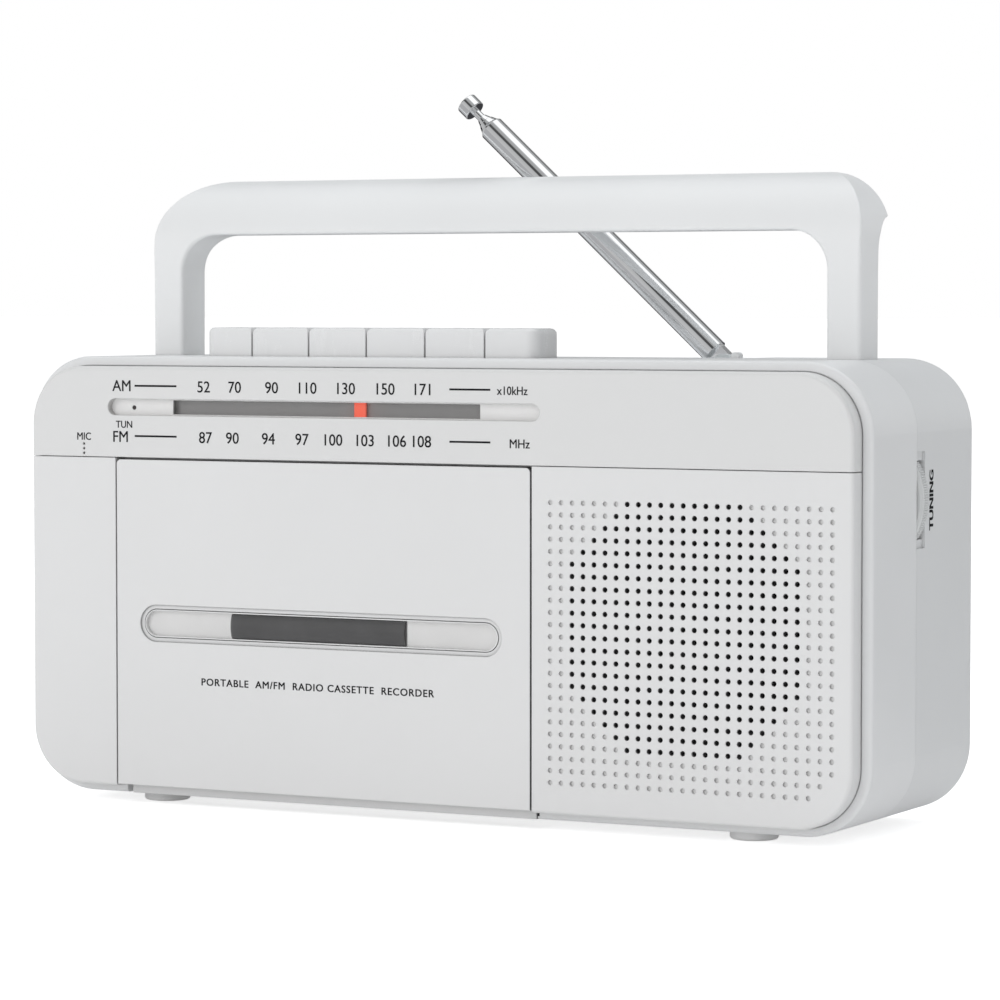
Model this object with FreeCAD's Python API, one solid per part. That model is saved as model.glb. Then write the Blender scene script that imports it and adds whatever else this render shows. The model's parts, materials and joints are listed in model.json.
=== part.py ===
"""Portable radio cassette recorder, one STEP file per piece.

Frame: millimetres, +X to the right of the front, +Y to the back, +Z up.
The origin is on the table, under the middle of the machine.
"""
import FreeCAD, Part
import math
import os

# Case: two shells that meet at the parting plane
CASE_HALF = 119.5
CASE_BOTTOM = 2.5
CASE_TOP = 116.5
CASE_CORNER = 17.5
LIP_FRONT = -30.0
PARTING = -2.5
CASE_BACK = 35.0
WALL = 2.5
PLATE_BACK = -28.0
EDGE_ROUND = 1.0

# Fascia: raised panels on the front plate
FASCIA_FRONT = -35.0
FASCIA_HALF = 116.6
FASCIA_BOTTOM = 4.7
FASCIA_TOP = 114.0
FASCIA_CORNER = 15.0
FASCIA_SKIN = 2.0
SEAM_HEIGHT = 90.4
SEAM_GAP = 0.2
GROOVE_WIDTH = 0.2
GROOVE_UNDER = 0.4
GROOVE_DEPTH = 0.5

# Cassette door, hinged along its lower edge
DOOR_LEFT = -90.2
DOOR_RIGHT = 30.6
DOOR_BOTTOM = 5.2
DOOR_TOP = 89.9
DOOR_REAR = -30.3
DOOR_PIVOT_Y = -28.5
DOOR_PIVOT_Z = 7.0
LIP_LEFT = -88.8
LIP_RIGHT = 29.9
WELL_LEFT = -90.4
WELL_RIGHT = 30.2
SWING_GAP = 0.15       # room beside the door's lower corner as it swings
SWING_LOW = 3.3
SWING_HIGH = 8.5
WELL_FLOOR = -14.4
DOOR_WINDOW = (-81.9, 21.6, 44.0, 51.2)
DOOR_SIGHT = (-55.5, -4.3)

# Tuning dial
DIAL_WINDOW = (-92.7, 33.1, 101.5, 105.5)
DIAL_SLOT = (-74.1, 15.7)
POINTER_X = -19.1
POINTER_WIDTH = 3.3
LED_X = -86.0
LED_RADIUS = 0.55
CORD_PLANE = -19.0
CORD_LOW = 98.5
CORD_RADIUS = 0.3
GUIDE_RADIUS = 4.0
LEFT_GUIDE_X = -80.0
RIGHT_GUIDE_X = 40.0
DRUM_RADIUS = 12.5

# Thumbwheels, tuning on the right and volume on the left
WHEEL_X = 103.3
WHEEL_Z = 82.5
WHEEL_RADIUS = 18.0
WHEEL_HALF = 2.2
WHEEL_ROOM = 0.2
RECESS_HALF = 11.8
RECESS_DEPTH = 0.7
SPINDLE_RADIUS = 2.0
GEAR_MODULE = 1.0
PINION_TEETH = 12
CAPACITOR_TEETH = 26
CAPACITOR_X = WHEEL_X - GEAR_MODULE * (PINION_TEETH + CAPACITOR_TEETH) / 2

# Speaker and its grille
GRILLE_PITCH = 3.0
GRILLE_LEFT = 36.2
GRILLE_TOP = 81.55
GRILLE_COLUMNS = 26
GRILLE_ROWS = 24
GRILLE_CENTRE = (12, 10)
GRILLE_REACH = 10
GRILLE_DIAGONAL = 15
GRILLE_MISSING = ((25, 22), (24, 23), (25, 23))
HOLE_RADIUS = 0.65
DIMPLE_RADIUS = 0.6
DIMPLE_DEPTH = 0.6
SPEAKER_X = 72.2
SPEAKER_Z = 51.55
SPEAKER_RADIUS = 34.0

# Keys
KEY_EDGES = (-78.0, -63.3, -46.2, -29.0, -11.8, 5.5, 20.2)
KEY_NAMES = ("record_key", "play_key", "rewind_key", "fast_forward_key", "stop_eject_key", "pause_key")
KEY_FRONT = -11.5
KEY_REAR = 0.5
KEY_TOP = 124.0
KEY_ROUND = 1.4
KEY_BASE = 113.0
KEY_GAP = 0.25
KEY_SLOT_CLEARANCE = 0.4

# Tape transport
CHASSIS_FRONT = -10.5
CHASSIS_REAR = -9.3
SUPPLY_X = -51.25
TAKEUP_X = -8.75
REEL_Z = 47.5
CAPSTAN_X = -0.5
CAPSTAN_Z = 74.8
FLYWHEEL_RADIUS = 19.0
MOTOR_X = -66.0
MOTOR_Z = 80.0
MOTOR_RADIUS = 12.0
PULLEY_RADIUS = 3.0
ROLLER_Z = 86.8
SHAFT_RADIUS = 1.0
RUNNING_CLEARANCE = 0.05

# Carrying handle
HANDLE_OUTER = 102.6
HANDLE_INNER = 93.4
HANDLE_TOP = 163.2
HANDLE_UNDERSIDE = 148.5
HANDLE_FRONT = 2.2
LEG_REAR = 14.2
BAR_REAR = 21.9
HOLLOW_LOW = 143.2     # where the rear of the leg starts to sweep back
HOLLOW_ROUND = 9.0
HANDLE_OUTER_ROUND = 16.0
HANDLE_INNER_ROUND = 10.0

# Telescopic antenna, leaning to the left at rest
ANTENNA_PIVOT = (55.95, 26.6, 114.48)
ANTENNA_LEAN = 42.1
LEDGE_FLOOR = 110.3
LEDGE_FRONT = 20.5
LEDGE_RIGHT = 66.0
TUBE_START = 5.0
TUBE_RADIUS = 3.4
ANTENNA_END = 102.6
KNOB_RADIUS = 2.95
KNOB_LENGTH = 3.6

# Battery compartment and left-hand sockets
BATTERY_HALF = 104.0
BATTERY_LOW = 7.2
BATTERY_HIGH = 35.0
BATTERY_FRONT = 3.0
HATCH_PIVOT = (34.0, 8.9)
SWITCH_Y = 14.5
SWITCH_Z = 61.0
JACK_Y = 18.0
JACK_Z = 43.0
JACK_RADIUS = 1.8
INLET_Y = 18.0
INLET_Z = 30.0

SCREWS = ((-106.0, 106.0), (106.0, 106.0), (-111.0, 52.0), (111.0, 52.0))
FEET = ((-84.5, -20.0), (84.5, -20.0), (-84.5, 24.0), (84.5, 24.0))

X_AXIS = FreeCAD.Vector(1, 0, 0)
Y_AXIS = FreeCAD.Vector(0, 1, 0)
Z_AXIS = FreeCAD.Vector(0, 0, 1)
AXES = {"x": X_AXIS, "y": Y_AXIS, "z": Z_AXIS}


def point(x, y, z):
    return FreeCAD.Vector(x, y, z)


def block(x0, x1, y0, y1, z0, z1):
    """A box between two opposite corners."""
    return Part.makeBox(x1 - x0, y1 - y0, z1 - z0, point(x0, y0, z0))


def rod_x(y, z, radius, x0, x1):
    return Part.makeCylinder(radius, x1 - x0, point(x0, y, z), X_AXIS)


def rod_y(x, z, radius, y0, y1):
    return Part.makeCylinder(radius, y1 - y0, point(x, y0, z), Y_AXIS)


def rod_z(x, y, radius, z0, z1):
    return Part.makeCylinder(radius, z1 - z0, point(x, y, z0), Z_AXIS)


def cone_y(x, z, radius0, radius1, y0, y1):
    return Part.makeCone(radius0, radius1, y1 - y0, point(x, y0, z), Y_AXIS)


def join(*shapes):
    """One solid from pieces that share volume or faces."""
    result = shapes[0]
    for shape in shapes[1:]:
        result = result.fuse(shape)
    return result.removeSplitter()


def group(shapes):
    """Separate solids kept in one node."""
    return Part.makeCompound(list(shapes))


def edges_along(shape, axis):
    """Straight edges parallel to an axis."""
    found = []
    for edge in shape.Edges:
        if not isinstance(edge.Curve, Part.Line):
            continue
        if abs(abs(edge.Curve.Direction.dot(AXES[axis])) - 1.0) < 1e-6:
            found.append(edge)
    return found


def edges_in_plane(shape, axis, place):
    """Edges that lie wholly in the plane across an axis at a given place."""
    normal = AXES[axis]
    found = []
    for edge in shape.Edges:
        ends = [vertex.Point.dot(normal) for vertex in edge.Vertexes]
        middle = edge.valueAt((edge.FirstParameter + edge.LastParameter) / 2).dot(normal)
        if all(abs(value - place) < 1e-6 for value in ends + [middle]):
            found.append(edge)
    return found


def rounded_block(x0, x1, y0, y1, z0, z1, radius):
    """A block whose four edges along Y are rounded."""
    body = block(x0, x1, y0, y1, z0, z1)
    return body.makeFillet(radius, edges_along(body, "y"))


def pill(x0, x1, z0, z1, y0, y1, margin=0.0):
    """A slot-shaped plug along X, with half-round ends."""
    x0, x1, z0, z1 = x0 - margin, x1 + margin, z0 - margin, z1 + margin
    radius = (z1 - z0) / 2
    middle = (z0 + z1) / 2
    core = block(x0 + radius, x1 - radius, y0, y1, z0, z1)
    return join(core, rod_y(x0 + radius, middle, radius, y0, y1), rod_y(x1 - radius, middle, radius, y0, y1))


# ---- case ------------------------------------------------------------------

def screw_post(x, z, y0, y1):
    return rod_y(x, z, 4.0, y0, y1)


def key_slot(y0, y1):
    """The opening in the top of the case that all the keys share."""
    left = KEY_EDGES[0] - KEY_SLOT_CLEARANCE
    right = KEY_EDGES[-1] + KEY_SLOT_CLEARANCE
    return block(left, right, y0, y1, CASE_TOP - WALL - 1, CASE_TOP + 1)


def fascia_groove():
    """The narrow channel in the front plate that the edge of the fascia stands in."""
    deep = LIP_FRONT + GROOVE_DEPTH

    def ring(grow):
        side = FASCIA_HALF + grow
        low, high = FASCIA_BOTTOM - grow, FASCIA_TOP + grow
        return rounded_block(-side, side, LIP_FRONT - 1, deep, low, high, FASCIA_CORNER + grow)

    return ring(GROOVE_WIDTH).cut(ring(-GROOVE_UNDER))


def front_case():
    half = CASE_HALF
    shell = rounded_block(-half, half, LIP_FRONT, PARTING, CASE_BOTTOM, CASE_TOP, CASE_CORNER)
    shell = shell.makeFillet(EDGE_ROUND, edges_in_plane(shell, "y", LIP_FRONT))
    inside = half - WALL
    hollow = rounded_block(-inside, inside, PLATE_BACK, PARTING, CASE_BOTTOM + WALL, CASE_TOP - WALL,
                           CASE_CORNER - WALL)
    shell = shell.cut(hollow)
    additions = [
        block(WELL_LEFT - 2, WELL_LEFT, PLATE_BACK, WELL_FLOOR, CASE_BOTTOM + 1, 88),
        block(WELL_RIGHT, WELL_RIGHT + 2, PLATE_BACK, WELL_FLOOR, CASE_BOTTOM + 1, 88),
        rod_y(WHEEL_X, WHEEL_Z, 4.5, PLATE_BACK, -21.5),
        rod_y(-84, 93.5, 3.0, PLATE_BACK, CHASSIS_FRONT),
        rod_y(24, 93.5, 3.0, PLATE_BACK, CHASSIS_FRONT),
    ]
    additions += [screw_post(x, z, PLATE_BACK, PARTING) for x, z in SCREWS]
    shell = join(shell, *additions)
    cuts = [
        block(WELL_LEFT, WELL_RIGHT, LIP_FRONT - 1, PLATE_BACK + 1, CASE_BOTTOM - 1, 86),
        block(WELL_LEFT, WELL_RIGHT, LIP_FRONT - 1, -24, CASE_BOTTOM - 1, CASE_BOTTOM + WALL + 1),
        block(WELL_RIGHT - 1, DOOR_RIGHT + SWING_GAP, LIP_FRONT - 1, DOOR_PIVOT_Y, SWING_LOW, SWING_HIGH),
        rod_y(SPEAKER_X, SPEAKER_Z, SPEAKER_RADIUS - 1, LIP_FRONT - 1, PLATE_BACK + 1),
        rod_y(-100.3, 92.6, 2.5, LIP_FRONT - 1, PLATE_BACK + 1),
        block(DIAL_SLOT[0] - 1, DIAL_SLOT[1] + 1, LIP_FRONT - 1, PLATE_BACK + 1, 96.6, 98.7),
        rod_y(LED_X, 103.3, 1.6, LIP_FRONT - 1, PLATE_BACK + 1),
        rod_y(WHEEL_X, WHEEL_Z, SPINDLE_RADIUS + RUNNING_CLEARANCE, -26.5, -21),
        rod_x(DOOR_PIVOT_Y, DOOR_PIVOT_Z, 1.25, WELL_LEFT - 3, WELL_RIGHT + 3),
        key_slot(KEY_FRONT - KEY_SLOT_CLEARANCE, PARTING + 1),
    ]
    cuts.append(fascia_groove())
    cuts += [rod_y(x, z, 1.4, -12, PARTING + 1) for x, z in SCREWS]
    return shell.cut(group(cuts))


def rear_case():
    half = CASE_HALF
    outer = rounded_block(-half, half, PARTING, CASE_BACK, CASE_BOTTOM, CASE_TOP, CASE_CORNER)
    outer = outer.makeFillet(EDGE_ROUND, edges_in_plane(outer, "y", CASE_BACK))
    inside = half - WALL
    hollow = rounded_block(-inside, inside, PARTING, CASE_BACK - WALL, CASE_BOTTOM + WALL, CASE_TOP - WALL,
                           CASE_CORNER - WALL)
    shell = outer.cut(hollow)
    ledge = block(-half, LEDGE_RIGHT + 2, LEDGE_FRONT - 2, CASE_BACK, LEDGE_FLOOR - 2, CASE_TOP).common(outer)
    end = BATTERY_HALF + 1.5
    bay_outside = block(-end, end, BATTERY_FRONT, CASE_BACK - WALL + 0.5, CASE_BOTTOM + 1, BATTERY_HIGH + 1.5)
    bay_inside = block(-BATTERY_HALF, BATTERY_HALF, BATTERY_FRONT + 1.5, CASE_BACK + 1, BATTERY_LOW, BATTERY_HIGH)
    lug = block(60.6, 62.8, 18.0, LEDGE_FRONT, CASE_TOP - 1, 117.9)
    lug = lug.makeFillet(0.8, [edge for edge in edges_along(lug, "y") if edge.CenterOfMass.z > CASE_TOP])
    additions = [ledge, bay_outside, lug]
    additions += [screw_post(x, z, PARTING, CASE_BACK - 1) for x, z in SCREWS]
    additions.append(rod_y(-WHEEL_X, WHEEL_Z, 4.0, 14.0, CASE_BACK - 1))
    pivot_x, pivot_y = ANTENNA_PIVOT[:2]
    additions.append(rod_z(pivot_x, pivot_y, 7.0, 104.0, LEDGE_FLOOR - 1))
    shell = join(shell, *additions)
    slot = WHEEL_HALF + 0.5
    recess_low, recess_high = WHEEL_Z - RECESS_HALF, WHEEL_Z + RECESS_HALF
    cuts = [
        block(-half - 1, LEDGE_RIGHT, LEDGE_FRONT, CASE_BACK + 1, LEDGE_FLOOR, CASE_TOP + 3),
        bay_inside,
        rod_z(pivot_x, pivot_y, 4.5 + RUNNING_CLEARANCE, 103.0, LEDGE_FLOOR + 1),
        key_slot(PARTING - 1, KEY_REAR + KEY_SLOT_CLEARANCE),
        block(half - RECESS_DEPTH, half + 2, PARTING - 1, slot, recess_low, recess_high),
        block(-half - 2, -half + RECESS_DEPTH, PARTING - 1, slot, recess_low, recess_high),
        rod_y(WHEEL_X, WHEEL_Z, WHEEL_RADIUS + WHEEL_ROOM, PARTING - 1, slot),
        rod_y(-WHEEL_X, WHEEL_Z, WHEEL_RADIUS + WHEEL_ROOM, PARTING - 1, slot),
        block(-half - 1, -half + 4, SWITCH_Y - 2, SWITCH_Y + 2, SWITCH_Z - 6.6, SWITCH_Z + 6.6),
        rod_x(JACK_Y, JACK_Z, 3.0, -half - 1, -half + 4),
        inlet_body(),
        rod_x(HATCH_PIVOT[0], HATCH_PIVOT[1], 1.0, -BATTERY_HALF - 1.2, BATTERY_HALF + 1.2),
    ]
    for side in (-1, 1):
        tenon = side * (HANDLE_OUTER + HANDLE_INNER) / 2
        cuts.append(block(tenon - 3.1, tenon + 3.1, 5.1, 11.3, CASE_TOP - WALL - 1, CASE_TOP + 1))
    cuts += [rod_y(x, z, 1.6, PARTING - 1, CASE_BACK + 1) for x, z in SCREWS]
    cuts += [rod_y(x, z, 3.4, CASE_BACK - 2, CASE_BACK + 1) for x, z in SCREWS]
    return shell.cut(group(cuts))


def feet():
    pads = []
    for x, y in FEET:
        pad = rod_z(x, y, 6.0, 0, CASE_BOTTOM)
        pads.append(pad.makeFillet(0.8, edges_in_plane(pad, "z", 0.0)))
    return group(pads)


def case_screws():
    screws = []
    for x, z in SCREWS:
        head = rod_y(x, z, 3.0, CASE_BACK - 2, CASE_BACK - 0.6)
        head = head.cut(block(x - 2, x + 2, CASE_BACK - 1.4, CASE_BACK, z - 0.4, z + 0.4))
        head = head.cut(block(x - 0.4, x + 0.4, CASE_BACK - 1.4, CASE_BACK, z - 2, z + 2))
        screws.append(join(head, rod_y(x, z, 1.4, -11, CASE_BACK - 1.8)))
    return group(screws)


# ---- fascia ----------------------------------------------------------------

def fascia_blank():
    body = rounded_block(-FASCIA_HALF, FASCIA_HALF, FASCIA_FRONT, LIP_FRONT, FASCIA_BOTTOM, FASCIA_TOP,
                         FASCIA_CORNER)
    return body.makeFillet(EDGE_ROUND, edges_in_plane(body, "y", FASCIA_FRONT))


def dial_panel():
    low = SEAM_HEIGHT + SEAM_GAP / 2
    panel = fascia_blank().common(block(-120, 120, FASCIA_FRONT, LIP_FRONT, low, 120))
    pocket = block(-108, 108, FASCIA_FRONT + FASCIA_SKIN, LIP_FRONT + 1, low + 2.5, 109)
    cuts = [pocket, pill(*DIAL_WINDOW, FASCIA_FRONT - 1, LIP_FRONT, margin=0.15)]
    cuts += [rod_y(-100.3, z, 0.35, FASCIA_FRONT - 1, LIP_FRONT + 1) for z in (91.4, 92.6, 93.8)]
    return panel.cut(group(cuts))


def left_trim_panel():
    high = SEAM_HEIGHT - SEAM_GAP / 2
    panel = fascia_blank().common(block(-120, -90.6, FASCIA_FRONT, LIP_FRONT, 0, high))
    pocket = block(-109, -93, FASCIA_FRONT + FASCIA_SKIN, LIP_FRONT + 1, 14, high - 3)
    return panel.cut(pocket)


def grille_places():
    """Every cell of the grille, with True where the hole goes through."""
    for row in range(GRILLE_ROWS):
        for column in range(GRILLE_COLUMNS):
            if (column, row) in GRILLE_MISSING:
                continue
            across = abs(column - GRILLE_CENTRE[0])
            down = abs(row - GRILLE_CENTRE[1])
            through = max(across, down) <= GRILLE_REACH and across + down <= GRILLE_DIAGONAL
            yield GRILLE_LEFT + column * GRILLE_PITCH, GRILLE_TOP - row * GRILLE_PITCH, through


def speaker_grille_panel():
    high = SEAM_HEIGHT - SEAM_GAP / 2
    panel = fascia_blank().common(block(31.1, 120, FASCIA_FRONT, LIP_FRONT, 0, high))
    pocket = rounded_block(33.5, 114.0, FASCIA_FRONT + FASCIA_SKIN, LIP_FRONT + 1, 7.3, high - 2.5, 12.4)
    cuts = [pocket]
    for x, z, through in grille_places():
        if through:
            cuts.append(rod_y(x, z, HOLE_RADIUS, FASCIA_FRONT - 1, FASCIA_FRONT + FASCIA_SKIN + 0.5))
        else:
            cuts.append(rod_y(x, z, DIMPLE_RADIUS, FASCIA_FRONT - 1, FASCIA_FRONT + DIMPLE_DEPTH))
    return panel.cut(cuts)


# ---- cassette door ---------------------------------------------------------

def cassette_door():
    panel = fascia_blank().common(block(DOOR_LEFT, DOOR_RIGHT, FASCIA_FRONT, DOOR_REAR, DOOR_BOTTOM, DOOR_TOP))
    top_corners = [edge for edge in edges_along(panel, "y") if edge.Vertexes[0].Z > DOOR_TOP - 0.1]
    panel = panel.makeFillet(1.2, top_corners)
    panel = panel.cut(block(-86.5, 27, FASCIA_FRONT + 2.2, DOOR_REAR + 1, 10, 86.5))
    lip = block(LIP_LEFT, LIP_RIGHT, LIP_FRONT, -27.5, CASE_BOTTOM, 8.0)
    bridge = block(LIP_LEFT, LIP_RIGHT, -31.0, -27.5, DOOR_BOTTOM, 8.0)
    pieces = [panel, lip, bridge]
    for x0 in (LIP_LEFT, LIP_RIGHT - 3.0):
        pieces.append(rod_x(DOOR_PIVOT_Y, DOOR_PIVOT_Z, 2.4, x0, x0 + 3.0))
    door = join(*pieces)
    pin_radius = 1.25 + RUNNING_CLEARANCE
    door = door.cut(rod_x(DOOR_PIVOT_Y, DOOR_PIVOT_Z, pin_radius, LIP_LEFT - 1, LIP_RIGHT + 1))
    door = door.cut(pill(*DOOR_WINDOW, FASCIA_FRONT - 1, -30, margin=0.15))
    return door.cut(pill(*DOOR_WINDOW, FASCIA_FRONT - 1, FASCIA_FRONT + 0.5, margin=1.2))


def door_window():
    """A clear barrel-fronted lens that fills the slot in the door."""
    lens = pill(*DOOR_WINDOW, FASCIA_FRONT, FASCIA_FRONT + 2.2)
    half = (DOOR_WINDOW[3] - DOOR_WINDOW[2]) / 2
    sag = 0.7
    radius = (half * half + sag * sag) / (2 * sag)
    middle = (DOOR_WINDOW[2] + DOOR_WINDOW[3]) / 2
    return lens.common(rod_x(FASCIA_FRONT + radius, middle, radius, -90, 30))


def door_window_mask():
    """The opaque plate behind the lens, open where the cassette is seen."""
    plate = pill(*DOOR_WINDOW, FASCIA_FRONT + 2.2, FASCIA_FRONT + 3.0, margin=1.5)
    return plate.cut(block(*DOOR_SIGHT, -40, -30, DOOR_WINDOW[2] + 0.3, DOOR_WINDOW[3] - 0.3))


def cassette_holder():
    """The carrier behind the door, open at the top for the cassette."""
    left, right, rear = -82.2, 22.2, -15.0
    pieces = [
        block(left, left + 1.5, DOOR_REAR, rear, 14.5, 70),
        block(right - 1.5, right, DOOR_REAR, rear, 14.5, 70),
        block(left, right, DOOR_REAR, rear, 14.5, 16),
        block(left, left + 4.5, rear - 1.2, rear, 14.5, 70),
        block(right - 4.5, right, rear - 1.2, rear, 14.5, 70),
        block(left, left + 4.5, -32.8, DOOR_REAR + 1, 14.5, 70),
        block(right - 4.5, right, -32.8, DOOR_REAR + 1, 14.5, 70),
    ]
    carrier = join(*pieces)
    return carrier.cut(pill(*DOOR_WINDOW, -34, -31.0, margin=1.6))


def door_hinge_pins():
    left = rod_x(DOOR_PIVOT_Y, DOOR_PIVOT_Z, 1.25, WELL_LEFT - 2, LIP_LEFT + 2.9)
    right = rod_x(DOOR_PIVOT_Y, DOOR_PIVOT_Z, 1.25, LIP_RIGHT - 2.9, WELL_RIGHT + 2)
    return group([left, right])


# ---- dial ------------------------------------------------------------------

def dial_window():
    lens = pill(*DIAL_WINDOW, FASCIA_FRONT + 0.1, FASCIA_FRONT + FASCIA_SKIN)
    return lens.makeFillet(0.4, edges_in_plane(lens, "y", FASCIA_FRONT + 0.1))


def dial_backplate():
    """The white plate behind the dial window, slotted where the pointer shows."""
    back = FASCIA_FRONT + FASCIA_SKIN
    plate = block(-96, 37, back, back + 0.5, 99.4, 107.6)
    slot = block(*DIAL_SLOT, back - 1, back + 1, 101.7, 105.3)
    return plate.cut(group([slot, rod_y(LED_X, 103.3, LED_RADIUS + RUNNING_CLEARANCE, back - 1, back + 1)]))


def dial_scale_strip():
    return block(DIAL_SLOT[0] - 2, DIAL_SLOT[1] + 2, -31.0, LIP_FRONT, 99.2, 107.0)


def tuning_led():
    return join(rod_y(LED_X, 103.3, LED_RADIUS, -33.0, -31.0), rod_y(LED_X, 103.3, 1.5, -32.4, -27.0))


def dial_pointer():
    """A blade behind the slot, on an arm that reaches back under the cord."""
    left, right = POINTER_X - POINTER_WIDTH / 2, POINTER_X + POINTER_WIDTH / 2
    blade = block(left, right, -32.1, -31.5, 97.3, 106.0)
    arm = block(left, right, -32.1, -17.6, 97.3, 98.0)
    return join(blade, arm)


def tangent_points(centre_a, radius_a, centre_b, radius_b, side):
    """Where a line touches two circles in the X-Z plane.

    side is +1 to leave the first circle at its top; a negative second radius crosses to its underside.
    """
    dx, dz = centre_b[0] - centre_a[0], centre_b[1] - centre_a[1]
    length = math.hypot(dx, dz)
    base = math.atan2(dz, dx)
    spread = math.acos((radius_a - radius_b) / length)
    angle = base + side * spread
    cosine, sine = math.cos(angle), math.sin(angle)
    touch_a = (centre_a[0] + radius_a * cosine, centre_a[1] + radius_a * sine)
    touch_b = (centre_b[0] + radius_b * cosine, centre_b[1] + radius_b * sine)
    return touch_a, touch_b


def straight_cord(start, end):
    a = point(start[0], CORD_PLANE, start[1])
    b = point(end[0], CORD_PLANE, end[1])
    return Part.makeCylinder(CORD_RADIUS, (b - a).Length, a, b - a)


def dial_cord():
    """The taut runs of cord between the two guides and the drum."""
    reach = CORD_RADIUS + 0.1
    left = (LEFT_GUIDE_X, CORD_LOW + GUIDE_RADIUS + reach)
    drum = (WHEEL_X, WHEEL_Z)
    right = (RIGHT_GUIDE_X, CORD_LOW - GUIDE_RADIUS - reach)
    top_run = tangent_points(left, GUIDE_RADIUS + reach, drum, DRUM_RADIUS + reach, 1)
    last_run = tangent_points(right, GUIDE_RADIUS + reach, drum, -DRUM_RADIUS - reach, 1)
    pointer_run = ((LEFT_GUIDE_X, CORD_LOW), (RIGHT_GUIDE_X - 3, CORD_LOW))
    return group([straight_cord(*top_run), straight_cord(*pointer_run), straight_cord(*last_run)])


def dial_cord_guides():
    """Two fixed grooved posts that the dial cord slides over."""
    guides = []
    for x, z in ((LEFT_GUIDE_X, CORD_LOW + GUIDE_RADIUS + 0.4), (RIGHT_GUIDE_X, CORD_LOW - GUIDE_RADIUS - 0.4)):
        core = rod_y(x, z, GUIDE_RADIUS, CORD_PLANE - 1.5, CORD_PLANE + 1.5)
        flange = rod_y(x, z, GUIDE_RADIUS + 1, CORD_PLANE + 1.5, CORD_PLANE + 2.3)
        stem = rod_y(x, z, 2.2, PLATE_BACK, CORD_PLANE)
        guides.append(join(core, flange, stem))
    return group(guides)


# ---- tuning and volume -------------------------------------------------------

def thumbwheel(side):
    """A rimmed disc on the Y axis; side is +1 for the right of the case."""
    x = side * WHEEL_X
    disc = rod_y(x, WHEEL_Z, WHEEL_RADIUS, -WHEEL_HALF, WHEEL_HALF)
    recess = rod_y(x, WHEEL_Z, WHEEL_RADIUS - 3, -WHEEL_HALF - 1, -WHEEL_HALF + 1.2)
    hub = rod_y(x, WHEEL_Z, 4.5, -WHEEL_HALF, WHEEL_HALF)
    return join(disc.cut(recess), hub)


def tuning_wheel():
    return thumbwheel(1).cut(rod_y(WHEEL_X, WHEEL_Z, SPINDLE_RADIUS, -10, 10))


def toothed_disc(x, z, teeth, first_angle, y0, y1):
    """A spur gear of straight-sided teeth, with room between them for backlash."""
    pitch_radius = GEAR_MODULE * teeth / 2
    root, tip = pitch_radius - 1.1, pitch_radius + 0.8
    pitch_angle = 2 * math.pi / teeth
    outline = []
    for number in range(teeth):
        middle = math.radians(first_angle) + number * pitch_angle
        for radius, offset in ((root, -0.95 / root), (tip, -0.42 / tip), (tip, 0.42 / tip), (root, 0.95 / root)):
            angle = middle + offset
            outline.append(point(x + radius * math.cos(angle), y0, z + radius * math.sin(angle)))
    outline.append(outline[0])
    return Part.Face(Part.makePolygon(outline)).extrude(point(0, y1 - y0, 0))


def tuning_spindle():
    """The shaft of the tuning wheel, with its cord drum in front and its pinion behind."""
    shaft = rod_y(WHEEL_X, WHEEL_Z, SPINDLE_RADIUS, -26.3, 12.0)
    pinion = toothed_disc(WHEEL_X, WHEEL_Z, PINION_TEETH, 180.0 / PINION_TEETH, 3.8, 8.2)
    drum = rod_y(WHEEL_X, WHEEL_Z, DRUM_RADIUS, -20.5, -17.5)
    flanges = [rod_y(WHEEL_X, WHEEL_Z, DRUM_RADIUS + 0.8, y, y + 0.7) for y in (-21.2, -17.5)]
    return join(shaft, pinion, drum, *flanges)


def capacitor_gear():
    gear = toothed_disc(CAPACITOR_X, WHEEL_Z, CAPACITOR_TEETH, 0.0, 4.4, 7.6)
    return join(gear, rod_y(CAPACITOR_X, WHEEL_Z, 3.0, 4.4, 10.1))


def tuner_bracket():
    plate = block(66, 113, 9.0, 10.2, 64, 99)
    posts = [rod_y(x, z, 2.0, 10.2, 22.0) for x, z in ((70, 68), (70, 96), (97, 68))]
    bracket = join(plate, *posts)
    bores = [rod_y(WHEEL_X, WHEEL_Z, SPINDLE_RADIUS + RUNNING_CLEARANCE, 8, 12),
             rod_y(CAPACITOR_X, WHEEL_Z, 3.0 + RUNNING_CLEARANCE, 8, 10.2)]
    return bracket.cut(group(bores))


def tuning_capacitor():
    can = block(CAPACITOR_X - 10, CAPACITOR_X + 10, 10.2, 20.0, WHEEL_Z - 10, WHEEL_Z + 10)
    return can.makeFillet(0.8, edges_along(can, "y"))


def volume_wheel():
    return join(thumbwheel(-1), rod_y(-WHEEL_X, WHEEL_Z, SPINDLE_RADIUS, WHEEL_HALF - 0.5, 12.0))


def volume_pot():
    body = rod_y(-WHEEL_X, WHEEL_Z, 8.5, 4.0, 14.0)
    return body.cut(rod_y(-WHEEL_X, WHEEL_Z, SPINDLE_RADIUS + RUNNING_CLEARANCE, 3.0, 12.3))


def band_switch_knob():
    x = -CASE_HALF
    knob = block(x - 1.7, x + 2.7, SWITCH_Y - 1.6, SWITCH_Y + 1.6, SWITCH_Z - 3, SWITCH_Z + 3)
    slider = block(x + 2.7, x + 3.7, SWITCH_Y - 4, SWITCH_Y + 4, SWITCH_Z - 10.2, SWITCH_Z + 10.2)
    return join(knob, slider)


# ---- speaker -----------------------------------------------------------------

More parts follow.
